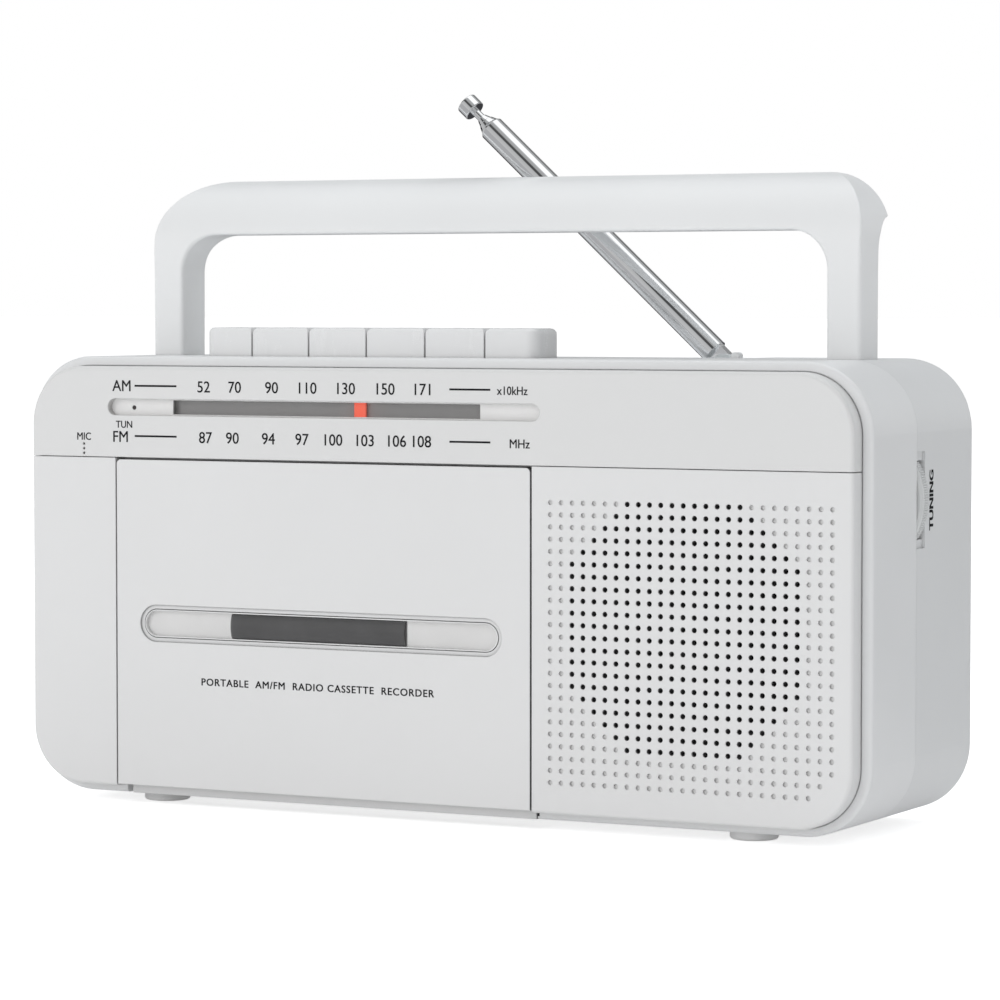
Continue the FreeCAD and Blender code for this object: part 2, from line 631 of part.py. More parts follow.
def speaker_driver():
    """The steel basket with the magnet behind it."""
    x, z = SPEAKER_X, SPEAKER_Z
    flange = rod_y(x, z, SPEAKER_RADIUS, PLATE_BACK, -26.0)
    flange = flange.cut(rod_y(x, z, 30.5, PLATE_BACK - 1, -25.0))
    outside = cone_y(x, z, 32.0, 19.0, -26.0, -12.0)
    inside = cone_y(x, z, 30.5, 17.5, -26.0, -13.2)
    basket = outside.cut(inside)
    magnet = [rod_y(x, z, 17.0, -12.0, -10.5), rod_y(x, z, 18.0, -10.5, 0.0), rod_y(x, z, 15.0, 0.0, 1.5)]
    return join(flange, basket, *magnet)


def speaker_cone():
    x, z = SPEAKER_X, SPEAKER_Z
    outside = cone_y(x, z, 29.0, 8.0, -26.6, -14.0)
    inside = cone_y(x, z, 28.2, 7.2, -26.8, -14.4)
    rim = rod_y(x, z, 30.4, -27.0, -26.0).cut(rod_y(x, z, 27.8, -28, -25))
    dust_cap = rod_y(x, z, 8.4, -15.0, -14.0)
    return join(outside.cut(inside), rim, dust_cap)


# ---- keys ----------------------------------------------------------------------

def key(number):
    """A push key: a cap in the top slot on a square stem."""
    left, right = KEY_EDGES[number] + KEY_GAP, KEY_EDGES[number + 1] - KEY_GAP
    cap = block(left, right, KEY_FRONT, KEY_REAR, KEY_BASE, KEY_TOP)
    corner = None
    if number == 0:
        corner = left
    if number == len(KEY_NAMES) - 1:
        corner = right
    if corner is not None:
        uprights = [edge for edge in edges_along(cap, "z")
                    if abs(edge.Vertexes[0].X - corner) < 0.01 and edge.Vertexes[0].Y < KEY_FRONT + 0.1]
        cap = cap.makeFillet(3.0, uprights)
    cap = cap.makeFillet(KEY_ROUND, edges_in_plane(cap, "z", KEY_TOP))
    middle = (left + right) / 2
    stem = block(middle - 2, middle + 2, -7.5, -3.5, 99.5, KEY_BASE)
    return join(cap, stem)


def key_guide_rail():
    """The flange behind the chassis that guides the six key stems."""
    rail = block(-80, 22, CHASSIS_REAR, 0.7, 103, 108)
    slots = []
    for number in range(len(KEY_NAMES)):
        middle = (KEY_EDGES[number] + KEY_EDGES[number + 1]) / 2
        slots.append(block(middle - 2.2, middle + 2.2, -7.7, -3.3, 102, 109))
    return rail.cut(group(slots))


# ---- tape transport --------------------------------------------------------------

def cassette_well():
    floor = block(WELL_LEFT + 0.2, WELL_RIGHT - 0.2, WELL_FLOOR, -13.2, 6, 79)
    spacers = [rod_y(x, z, 2.5, -13.2, CHASSIS_FRONT) for x in (-84, 24) for z in (12, 74)]
    floor = join(floor, *spacers)
    holes = [rod_y(x, REEL_Z, 6.0, -16, -11) for x in (SUPPLY_X, TAKEUP_X)]
    holes.append(rod_y(CAPSTAN_X, CAPSTAN_Z, 3.0, -16, -11))
    return floor.cut(group(holes))


def mechanism_chassis():
    plate = block(-88, 28, CHASSIS_FRONT, CHASSIS_REAR, 10, 108)
    pieces = [rod_y(x, REEL_Z, 1.2, -25.0, CHASSIS_FRONT) for x in (SUPPLY_X, TAKEUP_X)]
    pieces.append(rod_y(CAPSTAN_X, CAPSTAN_Z, 2.0, -13.0, CHASSIS_FRONT))
    pieces += [rod_y(MOTOR_X + side * 9, MOTOR_Z, 1.5, CHASSIS_REAR, -2.5) for side in (-1, 1)]
    chassis = join(plate, key_guide_rail(), *pieces)
    return chassis.cut(rod_y(CAPSTAN_X, CAPSTAN_Z, SHAFT_RADIUS + RUNNING_CLEARANCE, -14, -9))


def reel(x):
    """A tape spindle with drive fins, on a flanged turntable."""
    spindle = rod_y(x, REEL_Z, 3.2, -26.0, -12.9)
    table = rod_y(x, REEL_Z, 13.0, -12.9, -10.8)
    pieces = [spindle, table, rod_y(x, REEL_Z, 5.0, -15.0, -12.9)]
    for number in range(6):
        fin = block(x, x + 4.4, -25.0, -15.0, REEL_Z - 0.5, REEL_Z + 0.5)
        fin.rotate(point(x, 0, REEL_Z), Y_AXIS, 60 * number)
        pieces.append(fin)
    body = join(*pieces)
    return body.cut(rod_y(x, REEL_Z, 1.2 + RUNNING_CLEARANCE, -25.2, -10))


def flywheel():
    disc = rod_y(CAPSTAN_X, CAPSTAN_Z, FLYWHEEL_RADIUS, -8.3, -3.3)
    capstan = rod_y(CAPSTAN_X, CAPSTAN_Z, SHAFT_RADIUS, -27.0, -3.3)
    return join(disc, capstan)


def motor():
    can = rod_y(MOTOR_X, MOTOR_Z, MOTOR_RADIUS, -2.5, 18.0)
    can = can.makeFillet(1.0, edges_in_plane(can, "y", 18.0))
    return can.cut(rod_y(MOTOR_X, MOTOR_Z, 2.0, -3, -1.5))


def motor_pulley():
    pulley = rod_y(MOTOR_X, MOTOR_Z, PULLEY_RADIUS, -8.0, -2.9)
    flanges = [rod_y(MOTOR_X, MOTOR_Z, PULLEY_RADIUS + 0.8, y, y + 0.8) for y in (-8.0, -4.0)]
    return join(pulley, *flanges)


def belt_solid(grow):
    """The space inside a belt line that stands off the wheels by a given distance."""
    a, b = (MOTOR_X, MOTOR_Z), (CAPSTAN_X, CAPSTAN_Z)
    radius_a, radius_b = PULLEY_RADIUS + grow, FLYWHEEL_RADIUS + grow
    upper = tangent_points(a, radius_a, b, radius_b, 1)
    lower = tangent_points(a, radius_a, b, radius_b, -1)
    y0, y1 = -6.8, -4.4
    corners = [upper[0], upper[1], b, lower[1], lower[0], a, upper[0]]
    web = Part.Face(Part.makePolygon([point(x, y0, z) for x, z in corners])).extrude(point(0, y1 - y0, 0))
    return join(web, rod_y(a[0], a[1], radius_a, y0, y1), rod_y(b[0], b[1], radius_b, y0, y1))


def drive_belt():
    return belt_solid(0.9).cut(belt_solid(0.2))


def head_plate():
    plate = block(-72, 14, -12.4, -11.4, 82, 97)
    return join(plate, rod_y(CAPSTAN_X, ROLLER_Z, SHAFT_RADIUS, -27.5, -12.4))


def tape_heads():
    heads = []
    for x0, x1, y0, y1, z0, z1 in ((-36.5, -23.5, -27.4, -17.4, 82.5, 94.5), (-54, -46, -26.4, -18.4, 83, 91)):
        head = block(x0, x1, y0, y1, z0, z1)
        head = head.makeFillet(1.5, edges_in_plane(head, "z", z0))
        bracket = block(x0 + 2, x1 - 2, y1 - 0.5, -12.4, z0 + 4, z1 - 1)
        heads.append(join(head, bracket))
    return group(heads)


def pinch_roller():
    roller = rod_y(CAPSTAN_X, ROLLER_Z, 5.6, -27.0, -19.0)
    return roller.cut(rod_y(CAPSTAN_X, ROLLER_Z, SHAFT_RADIUS + RUNNING_CLEARANCE, -28, -18))


# ---- power and electronics ---------------------------------------------------------

def inlet_body():
    x = -CASE_HALF
    return block(x, x + 11.5, INLET_Y - 10.5, INLET_Y + 10.5, INLET_Z - 6.5, INLET_Z + 6.5)


def ac_inlet():
    """A two-pin mains socket: a deep slot-shaped cavity with its pins."""
    x = -CASE_HALF
    body = inlet_body()
    core = block(x - 1, x + 9.5, INLET_Y - 4.3, INLET_Y + 4.3, INLET_Z - 4.3, INLET_Z + 4.3)
    ends = [rod_x(INLET_Y + side * 4.3, INLET_Z, 4.3, x - 1, x + 9.5) for side in (-1, 1)]
    body = body.cut(join(core, *ends))
    pins = [rod_x(INLET_Y + side * 4.3, INLET_Z, 1.1, x + 2.0, x + 9.5) for side in (-1, 1)]
    return join(body, *pins)


def earphone_jack():
    x = -CASE_HALF
    body = block(x + WALL, x + 11.5, JACK_Y - 4, JACK_Y + 4, JACK_Z - 3.6, JACK_Z + 3.6)
    nose = rod_x(JACK_Y, JACK_Z, 3.0, x, x + WALL)
    return join(body, nose).cut(rod_x(JACK_Y, JACK_Z, JACK_RADIUS, x - 1, x + 10.5))


def transformer():
    core = block(-44, -8, 10, 30, 48, 78)
    coil = block(-38, -14, 5, 35 - WALL - 0.6, 53, 73)
    base = block(-50, -2, 30, CASE_BACK - WALL, 56, 70)
    return join(core, coil, base)


def main_pcb():
    board = block(36, 100, 22.0, 23.6, 60, 104)
    parts = [block(44, 60, 23.6, 27, 66, 73), block(66, 74, 23.6, 30, 84, 92), rod_y(86, 70, 4, 23.6, 32),
             rod_y(50, 88, 5, 23.6, 32), rod_y(92, 92, 3, 23.6, 31)]
    return join(board, *parts)


def ferrite_rod():
    rod = rod_x(10, 104, 4.0, -50, 30)
    coil = rod_x(10, 104, 5.4, 4, 22).cut(rod_x(10, 104, 4.0, 3, 23))
    return group([rod, coil])


def battery_contacts():
    """Sprung and flat contacts at the two ends of the battery bay."""
    pieces = []
    for side in (-1, 1):
        outer = side * BATTERY_HALF
        inner = side * (BATTERY_HALF - 0.6)
        plate = block(min(outer, inner), max(outer, inner), 10, 28, 12, 31)
        nose_end = side * (BATTERY_HALF - 2.5)
        nose = rod_x(19, 21, 4.0, min(inner, nose_end), max(inner, nose_end))
        pieces.append(join(plate, nose))
    return group(pieces)


def battery_door():
    low, high = BATTERY_LOW + 0.7, BATTERY_HIGH - 0.4
    half = BATTERY_HALF - 0.4
    panel = block(-half, half, CASE_BACK - 2, CASE_BACK, low, high)
    grip = block(-12, 12, CASE_BACK - 0.8, CASE_BACK + 1, high - 7, high - 2)
    pins = [rod_x(HATCH_PIVOT[0], HATCH_PIVOT[1], 0.9, -half - 1.3, -half + 1),
            rod_x(HATCH_PIVOT[0], HATCH_PIVOT[1], 0.9, half - 1, half + 1.3)]
    rib_starts = [-90 + step * 36 for step in range(6)]
    ribs = [block(x, x + 1.5, CASE_BACK - 3.5, CASE_BACK - 2, 14, 32) for x in rib_starts]
    return join(panel, *pins, *ribs).cut(grip)


def microphone():
    return rod_y(-100.3, 92.6, 3.8, PLATE_BACK, -22.0)


# ---- handle --------------------------------------------------------------------------

def corner_arc(centre, radius, start_degrees, end_degrees, y):
    """A quarter-circle edge in the X-Z plane."""
    points = []
    for angle in (start_degrees, (start_degrees + end_degrees) / 2, end_degrees):
        turn = math.radians(angle)
        points.append(point(centre[0] + radius * math.cos(turn), y, centre[1] + radius * math.sin(turn)))
    return Part.Arc(*points).toShape()


def handle_outline(y):
    """The handle's front view as a face: an arch with rounded shoulders."""
    out, inn = HANDLE_OUTER, HANDLE_INNER
    big, small = HANDLE_OUTER_ROUND, HANDLE_INNER_ROUND
    top, under, foot = HANDLE_TOP, HANDLE_UNDERSIDE, CASE_TOP

    def line(x0, z0, x1, z1):
        return Part.LineSegment(point(x0, y, z0), point(x1, y, z1)).toShape()

    edges = [
        line(-out, foot, -out, top - big),
        corner_arc((-out + big, top - big), big, 180, 90, y),
        line(-out + big, top, out - big, top),
        corner_arc((out - big, top - big), big, 90, 0, y),
        line(out, top - big, out, foot),
        line(out, foot, inn, foot),
        line(inn, foot, inn, under - small),
        corner_arc((inn - small, under - small), small, 0, 90, y),
        line(inn - small, under, -inn + small, under),
        corner_arc((-inn + small, under - small), small, 90, 180, y),
        line(-inn, under - small, -inn, foot),
        line(-inn, foot, -out, foot),
    ]
    return Part.Face(Part.Wire(edges))


def handle_side(x0, x1):
    """The handle's side view, extruded: a quarter-round front, and a rear that sweeps back to a flat bar."""
    front, leg, bar = HANDLE_FRONT, LEG_REAR, BAR_REAR
    foot, top = CASE_TOP, HANDLE_TOP
    nose = bar - front
    reach = HOLLOW_ROUND - (bar - leg)
    hollow_top = HOLLOW_LOW + math.sqrt(HOLLOW_ROUND ** 2 - reach ** 2)
    half_turn = math.atan2(hollow_top - HOLLOW_LOW, reach) / 2

    def at(y, z):
        return point(x0, y, z)

    def line(y0, z0, y1, z1):
        return Part.LineSegment(at(y0, z0), at(y1, z1)).toShape()

    def arc(first, middle, last):
        return Part.Arc(at(*first), at(*middle), at(*last)).toShape()

    nose_cut = nose * (1 - math.sqrt(0.5))
    hollow_middle = (
        leg + HOLLOW_ROUND * (1 - math.cos(half_turn)),
        HOLLOW_LOW + HOLLOW_ROUND * math.sin(half_turn),
    )
    edges = [
        line(front, foot, front, top - nose),
        arc((front, top - nose), (front + nose_cut, top - nose_cut), (bar, top)),
        line(bar, top, bar, hollow_top),
        arc((bar, hollow_top), hollow_middle, (leg, HOLLOW_LOW)),
        line(leg, HOLLOW_LOW, leg, foot),
        line(leg, foot, front, foot),
    ]
    return Part.Face(Part.Wire(edges)).extrude(point(x1 - x0, 0, 0))


def carry_handle():
    arch = handle_outline(HANDLE_FRONT).extrude(point(0, BAR_REAR - HANDLE_FRONT, 0))
    body = arch.common(handle_side(-HANDLE_OUTER - 1, HANDLE_OUTER + 1))
    tenons = []
    for side in (-1, 1):
        middle = side * (HANDLE_OUTER + HANDLE_INNER) / 2
        tenons.append(block(middle - 3, middle + 3, 5.2, 11.2, CASE_TOP - WALL - 2, CASE_TOP))
    return join(body, *tenons)


# ---- antenna ---------------------------------------------------------------------------

def lean(shape):
    """Turns a shape drawn straight up from the pivot to the antenna's rest angle."""
    turned = shape.copy()
    turned.rotate(point(*ANTENNA_PIVOT), Y_AXIS, ANTENNA_LEAN - 90)
    return turned


def antenna_rod_z(radius, start, end):
    x, y, z = ANTENNA_PIVOT
    return rod_z(x, y, radius, z + start, z + end)


def antenna_cone_z(radius0, radius1, start, end):
    x, y, z = ANTENNA_PIVOT
    return Part.makeCone(radius0, radius1, end - start, point(x, y, z + start), Z_AXIS)


def antenna_swivel():
    x, y, z = ANTENNA_PIVOT
    base = rod_z(x, y, 4.5, 104.0, 111.0)
    pieces = [base]
    for side in (-1, 1):
        y0, y1 = sorted((y + side * 1.6, y + side * 3.4))
        pieces.append(block(x - 3, x + 3, y0, y1, 110.0, z))
        pieces.append(rod_y(x, z, 3.0, y0, y1))
    pieces.append(rod_y(x, z, 1.0, y - 3.8, y + 3.8))
    return join(*pieces)


def antenna_tube_outer():
    """The knuckle tongue and the outer tube, crimped at its mouth."""
    x, y, z = ANTENNA_PIVOT
    tongue_root = block(x - 2.6, x + 2.6, y - 1.45, y + 1.45, z, z + 6.0)
    tongue = join(rod_y(x, z, 2.9, y - 1.45, y + 1.45), tongue_root)
    tongue = tongue.cut(rod_y(x, z, 1.0 + RUNNING_CLEARANCE, y - 3, y + 3))
    tube = antenna_rod_z(TUBE_RADIUS, TUBE_START, 92.2)
    mouth = antenna_cone_z(TUBE_RADIUS, 2.97, 92.2, 92.8)
    shell = join(tube, mouth).cut(antenna_rod_z(2.88, TUBE_START + 2, 93))
    return lean(join(tongue, shell))


def antenna_tube_inner():
    tube = join(antenna_rod_z(2.8, 7.5, 93.0), antenna_cone_z(2.8, 2.2, 93.0, 94.4))
    return lean(tube.cut(antenna_rod_z(2.08, 9.0, 95)))


def antenna_tube_upper():
    tube = join(antenna_rod_z(2.0, 9.5, 94.6), antenna_cone_z(2.0, 1.35, 94.6, 96.2))
    return lean(tube.cut(antenna_rod_z(1.18, 11.0, 97)))


def antenna_tip():
    stem = antenna_rod_z(1.1, 11.5, ANTENNA_END - KNOB_LENGTH + 0.4)
    knob = antenna_rod_z(KNOB_RADIUS, ANTENNA_END - KNOB_LENGTH, ANTENNA_END)
    knob = knob.makeFillet(0.35, [edge for edge in knob.Edges if isinstance(edge.Curve, Part.Circle)])
    return lean(join(stem, knob))


# ---- output ------------------------------------------------------------------------------

PIECES = {
    "front_case": front_case,
    "rear_case": rear_case,
    "dial_panel": dial_panel,
    "left_trim_panel": left_trim_panel,
    "speaker_grille_panel": speaker_grille_panel,
    "feet": feet,
    "case_screws": case_screws,
    "cassette_door": cassette_door,
    "door_window": door_window,
    "door_window_mask": door_window_mask,
    "cassette_holder": cassette_holder,
    "door_hinge_pins": door_hinge_pins,
    "dial_window": dial_window,
    "dial_backplate": dial_backplate,
    "dial_scale_strip": dial_scale_strip,
    "tuning_led": tuning_led,
    "dial_pointer": dial_pointer,
    "dial_cord": dial_cord,
    "dial_cord_guides": dial_cord_guides,
    "tuning_wheel": tuning_wheel,
    "tuning_spindle": tuning_spindle,
    "capacitor_gear": capacitor_gear,
    "tuner_bracket": tuner_bracket,
    "tuning_capacitor": tuning_capacitor,
    "volume_wheel": volume_wheel,
    "volume_pot": volume_pot,
    "band_switch_knob": band_switch_knob,
    "speaker_driver": speaker_driver,
    "speaker_cone": speaker_cone,
    "cassette_well": cassette_well,
    "mechanism_chassis": mechanism_chassis,
    "flywheel": flywheel,
    "motor": motor,
    "motor_pulley": motor_pulley,
    "drive_belt": drive_belt,
    "head_plate": head_plate,
    "tape_heads": tape_heads,
    "pinch_roller": pinch_roller,
    "ac_inlet": ac_inlet,
    "earphone_jack": earphone_jack,
    "transformer": transformer,
    "main_pcb": main_pcb,
    "ferrite_rod": ferrite_rod,
    "battery_contacts": battery_contacts,
    "battery_door": battery_door,
    "microphone": microphone,
    "carry_handle": carry_handle,
    "antenna_swivel": antenna_swivel,
    "antenna_tube_outer": antenna_tube_outer,
    "antenna_tube_inner": antenna_tube_inner,
    "antenna_tube_upper": antenna_tube_upper,
    "antenna_tip": antenna_tip,
}


def build():
    """Every piece of the machine, by node name."""
    shapes = {name: make() for name, make in PIECES.items()}
    for number, name in enumerate(KEY_NAMES):
        shapes[name] = key(number)
    shapes["supply_reel"] = reel(SUPPLY_X)
    shapes["takeup_reel"] = reel(TAKEUP_X)
    return shapes


os.makedirs("parts", exist_ok=True)
for node, shape in build().items():
    shape.exportStep(os.path.join("parts", node + ".step"))
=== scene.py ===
"""Looks for a portable radio cassette recorder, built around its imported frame."""
import json
import math

import bmesh
import bpy
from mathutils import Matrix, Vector


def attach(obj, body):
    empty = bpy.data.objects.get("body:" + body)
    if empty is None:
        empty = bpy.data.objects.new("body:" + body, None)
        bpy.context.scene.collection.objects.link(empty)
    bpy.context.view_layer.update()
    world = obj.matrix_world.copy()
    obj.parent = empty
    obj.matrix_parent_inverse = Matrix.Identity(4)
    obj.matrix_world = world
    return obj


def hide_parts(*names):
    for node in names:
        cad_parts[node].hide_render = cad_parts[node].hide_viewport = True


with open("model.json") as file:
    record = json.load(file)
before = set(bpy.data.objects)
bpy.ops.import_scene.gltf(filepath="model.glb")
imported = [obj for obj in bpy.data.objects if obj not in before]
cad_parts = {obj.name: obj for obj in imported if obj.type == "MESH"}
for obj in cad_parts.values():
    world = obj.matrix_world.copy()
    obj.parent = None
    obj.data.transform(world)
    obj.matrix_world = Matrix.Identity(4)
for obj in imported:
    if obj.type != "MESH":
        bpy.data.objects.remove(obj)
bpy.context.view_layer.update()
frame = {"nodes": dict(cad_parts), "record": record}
nodes = frame["nodes"]
scene = bpy.context.scene
MM = 0.001

# ---- camera, lights and floor ------------------------------------------------

CAMERA_PLACE = (0.4838, -0.9118, 0.1303)
CAMERA_YAW = 27.76
CAMERA_DIP = 2.80
CAMERA_LENS = 144.7

camera_data = bpy.data.cameras.new("camera")
camera_data.lens = CAMERA_LENS
camera_data.sensor_width = 36.0
camera_data.clip_start = 0.05
camera_data.clip_end = 60.0
camera = bpy.data.objects.new("camera", camera_data)
camera.location = CAMERA_PLACE
camera.rotation_euler = (math.radians(90 - CAMERA_DIP), 0, math.radians(CAMERA_YAW))
scene.collection.objects.link(camera)
scene.camera = camera
scene.view_settings.view_transform = "Standard"


class Shader:
    """A material's node tree, with short calls to add and join its nodes."""

    def __init__(self, name):
        self.material = bpy.data.materials.new(name)
        self.material.use_nodes = True
        self.tree = self.material.node_tree
        self.tree.nodes.clear()
        self.out = self.tree.nodes.new("ShaderNodeOutputMaterial")
        self.bsdf = None

    def add(self, kind, settings=None, **values):
        node = self.tree.nodes.new("ShaderNode" + kind)
        for key, value in (settings or {}).items():
            setattr(node, key, value)
        for key, value in values.items():
            self.put(node.inputs[key.replace("_", " ")], value)
        return node

    def put(self, socket, value):
        if isinstance(value, bpy.types.NodeSocket):
            self.tree.links.new(value, socket)
        else:
            socket.default_value = value

    def principled(self, **values):
        self.bsdf = self.add("BsdfPrincipled", None, **values)
        self.put(self.out.inputs["Surface"], self.bsdf.outputs["BSDF"])
        return self.bsdf

    def place(self):
        return self.add("TexCoord").outputs["Object"]

    def stretched(self, vector, scale):
        return self.add("Mapping", None, Vector=vector, Scale=scale).outputs["Vector"]

    def noise(self, vector, scale, detail=2.0, roughness=0.5):
        node = self.add("TexNoise", None, Vector=vector, Scale=scale, Detail=detail, Roughness=roughness)
        return node.outputs["Fac"]

    def span(self, value, low, high, to_low=0.0, to_high=1.0):
        node = self.add("MapRange", {"clamp": True}, Value=value)
        node.inputs["From Min"].default_value = low
        node.inputs["From Max"].default_value = high
        self.put(node.inputs["To Min"], to_low)
        self.put(node.inputs["To Max"], to_high)
        return node.outputs["Result"]

    def maths(self, operation, first, second=0.5):
        node = self.add("Math", {"operation": operation})
        self.put(node.inputs[0], first)
        self.put(node.inputs[1], second)
        return node.outputs["Value"]

    def mix(self, factor, first, second, blend="MIX"):
        node = self.add("Mix", {"data_type": "RGBA", "blend_type": blend})
        self.put(node.inputs[0], factor)
        self.put(node.inputs[6], first)
        self.put(node.inputs[7], second)
        return node.outputs[2]

    def blend(self, factor, first, second):
        """Two shaders mixed."""
        node = self.add("MixShader")
        for socket, value in zip(node.inputs, (factor, first, second)):
            self.put(socket, value)
        return node.outputs["Shader"]

    def bump(self, height, strength, distance, normal=None):
        node = self.add("Bump", None, Height=height, Strength=strength, Distance=distance)
        if normal is not None:
            self.put(node.inputs["Normal"], normal)
        return node.outputs["Normal"]

    def rounded(self, radius):
        return self.add("Bevel", {"samples": 4}, Radius=radius).outputs["Normal"]

    def edge_mask(self, rounded):
        """1 along worn edges and 0 on faces."""
        flat = self.add("NewGeometry").outputs["Normal"]
        dot = self.add("VectorMath", {"operation": "DOT_PRODUCT"})
        self.put(dot.inputs[0], flat)
        self.put(dot.inputs[1], rounded)
        return self.span(dot.outputs["Value"], 0.75, 0.995, 1.0, 0.0)

    def crevice(self, distance):
        """1 in the open and 0 deep in a seam."""
        node = self.add("AmbientOcclusion", {"samples": 4, "only_local": False}, Distance=distance)
        return node.outputs["AO"]


def rgb(red, green, blue):
    return (red, green, blue, 1.0)


def shade(colour, factor):
    return rgb(*(channel * factor for channel in colour[:3]))


# ---- materials ---------------------------------------------------------------

def moulded(name, colour, rough=0.42, grain=0.10, grain_size=0.25, edge=0.35, dust_and_shade=0.14, gloss=0.5,
            drift=0.02, dust_and_shade_colour=rgb(0.30, 0.285, 0.265), holes_painted_dark=None):
    """Moulded plastic: spark-eroded grain, slow colour drift, polished edges, and seams and crevices darkened
    partly by dust and partly by painted shade.
    grain_size and edge are in millimetres. The last argument is the middle (X, Z), the half width and the
    diagonal half width of the octagon where the holes go right through; there the hole walls are painted near
    black as shade."""
    s = Shader(name)
    place = s.place()
    cloud = s.noise(place, 14.0, 3.0)
    speck = s.noise(place, 1 / (grain_size * MM), 2.0, 0.65)
    scuff = s.noise(s.stretched(place, (1.0, 1.0, 0.25)), 120.0, 4.0, 0.7)
    rounded = s.rounded(edge * MM)
    worn = s.edge_mask(rounded)
    tint = s.mix(s.span(cloud, 0.35, 0.65), shade(colour, 1 - drift), shade(colour, 1 + drift * 0.4))
    tint = s.mix(s.maths("MULTIPLY", worn, 0.25), tint, shade(colour, 1.06))
    # Painted shade: inside the octagon the open holes are painted near black, standing in for the shade
    # inside them.
    if holes_painted_dark:
        middle_x, middle_z, reach, diagonal = (value * MM for value in holes_painted_dark)
        parts = s.add("SeparateXYZ", None, Vector=place).outputs
        across = s.maths("ABSOLUTE", s.maths("SUBTRACT", parts["X"], middle_x))
        down = s.maths("ABSOLUTE", s.maths("SUBTRACT", parts["Z"], middle_z))
        hole_shade_mask = s.maths("MULTIPLY", s.maths("LESS_THAN", s.maths("MAXIMUM", across, down), reach),
                          s.maths("LESS_THAN", s.maths("ADD", across, down), diagonal))
        dust_and_shade = s.span(hole_shade_mask, 0.0, 1.0, dust_and_shade, 0.98)
        dust_and_shade_colour = s.mix(hole_shade_mask, dust_and_shade_colour, rgb(0.006, 0.006, 0.006))
    # Seams and crevices found by ambient occlusion are darkened towards the dust colour: partly dust, partly
    # painted shade.
    dust_and_shade_mask = s.span(s.crevice(1.6 * MM), 0.15, 0.85, dust_and_shade, 0.0)
    tint = s.mix(dust_and_shade_mask, tint, dust_and_shade_colour)
    smooth = s.span(scuff, 0.40, 0.70, rough - 0.035, rough + 0.035)
    smooth = s.maths("ADD", smooth, s.span(speck, 0.3, 0.7, -0.015, 0.015))
    smooth = s.maths("SUBTRACT", smooth, s.maths("MULTIPLY", worn, 0.06))
    s.principled(Base_Color=tint, Roughness=smooth, Normal=s.bump(speck, grain, 0.02 * MM, rounded), IOR=1.5)
    s.bsdf.inputs["Specular IOR Level"].default_value = gloss
    return s.material


def lacquered(name, colour, rough=0.2, peel=0.04, painted_glow=0.0):
    """Smooth glossy plastic or lacquer with a faint orange peel and finger smears, and an optional painted
    glow that makes a part emit light though it is no lamp.
    """
    s = Shader(name)
    place = s.place()
    smear = s.noise(place, 60.0, 4.0, 0.6)
    wave = s.noise(place, 900.0, 1.0)
    tint = s.mix(s.span(smear, 0.3, 0.7), shade(colour, 0.97), shade(colour, 1.02))
    smooth = s.span(smear, 0.3, 0.75, rough, rough + 0.10)
    s.principled(Base_Color=tint, Roughness=smooth, Normal=s.bump(wave, peel, 0.02 * MM, s.rounded(0.2 * MM)))
    # Painted glow: the part emits light of its own colour though it is no lamp.
    if painted_glow:
        s.bsdf.inputs["Emission Color"].default_value = colour
        s.bsdf.inputs["Emission Strength"].default_value = painted_glow
    return s.material


def metal(name, colour, rough=0.25, along=(1.0, 1.0, 1.0), lines=900.0, tarnish=0.15, depth=0.05):
    """Bare metal with drawn or turned lines, smears and a little tarnish."""
    s = Shader(name)
    place = s.place()
    brushed = s.noise(s.stretched(place, along), lines, 3.0, 0.6)
    smear = s.noise(place, 45.0, 4.0, 0.6)
    spots = s.span(s.noise(place, 320.0, 4.0, 0.7), 0.60, 0.75)
    tint = s.mix(s.span(smear, 0.3, 0.7), shade(colour, 0.92), colour)
    tint = s.mix(s.maths("MULTIPLY", spots, tarnish), tint, shade(colour, 0.45))
    smooth = s.span(brushed, 0.3, 0.7, rough * 0.7, rough * 1.3)
    smooth = s.maths("ADD", smooth, s.span(smear, 0.45, 0.75, 0.0, rough * 0.5))
    s.principled(Base_Color=tint, Roughness=smooth, Metallic=1.0,
                 Normal=s.bump(brushed, depth, 0.01 * MM, s.rounded(0.15 * MM)))
    return s.material


def clear_window(name, smoked):
    """A clear moulded lens, its front smoked grey between two places along X in millimetres."""
    s = Shader(name)
    place = s.place()
    across = s.add("SeparateXYZ", None, Vector=place).outputs["X"]
    inside = s.maths("MULTIPLY", s.maths("GREATER_THAN", across, smoked[0] * MM),
                     s.maths("LESS_THAN", across, smoked[1] * MM))
    front = s.maths("SUBTRACT", 1.0, s.add("NewGeometry").outputs["Backfacing"])
    smear = s.noise(place, 70.0, 4.0, 0.6)
    flow = s.noise(s.stretched(place, (0.2, 1.0, 1.0)), 260.0, 2.0)
    ripple = s.bump(flow, 0.05, 0.02 * MM)
    smooth = s.span(smear, 0.45, 0.75, 0.05, 0.16)
    clear = s.add("BsdfTransparent", None, Color=rgb(0.979, 0.977, 0.975)).outputs["BSDF"]
    gloss = s.add("BsdfGlossy", None, Color=rgb(1.0, 1.0, 1.0), Roughness=smooth, Normal=ripple)
    shine = s.maths("MULTIPLY", front, s.add("Fresnel", None, IOR=1.49, Normal=ripple).outputs["Fac"])
    tint = s.mix(s.span(smear, 0.3, 0.7), rgb(0.082, 0.081, 0.082), rgb(0.098, 0.097, 0.098))
    s.principled(Base_Color=tint, Roughness=s.maths("ADD", smooth, 0.12), IOR=1.49, Normal=ripple)
    smoke = s.maths("MULTIPLY", s.maths("MULTIPLY", inside, front), 0.93)
    plain = s.blend(shine, clear, gloss.outputs["BSDF"])
    s.put(s.out.inputs["Surface"], s.blend(smoke, plain, s.bsdf.outputs["BSDF"]))
    return s.material


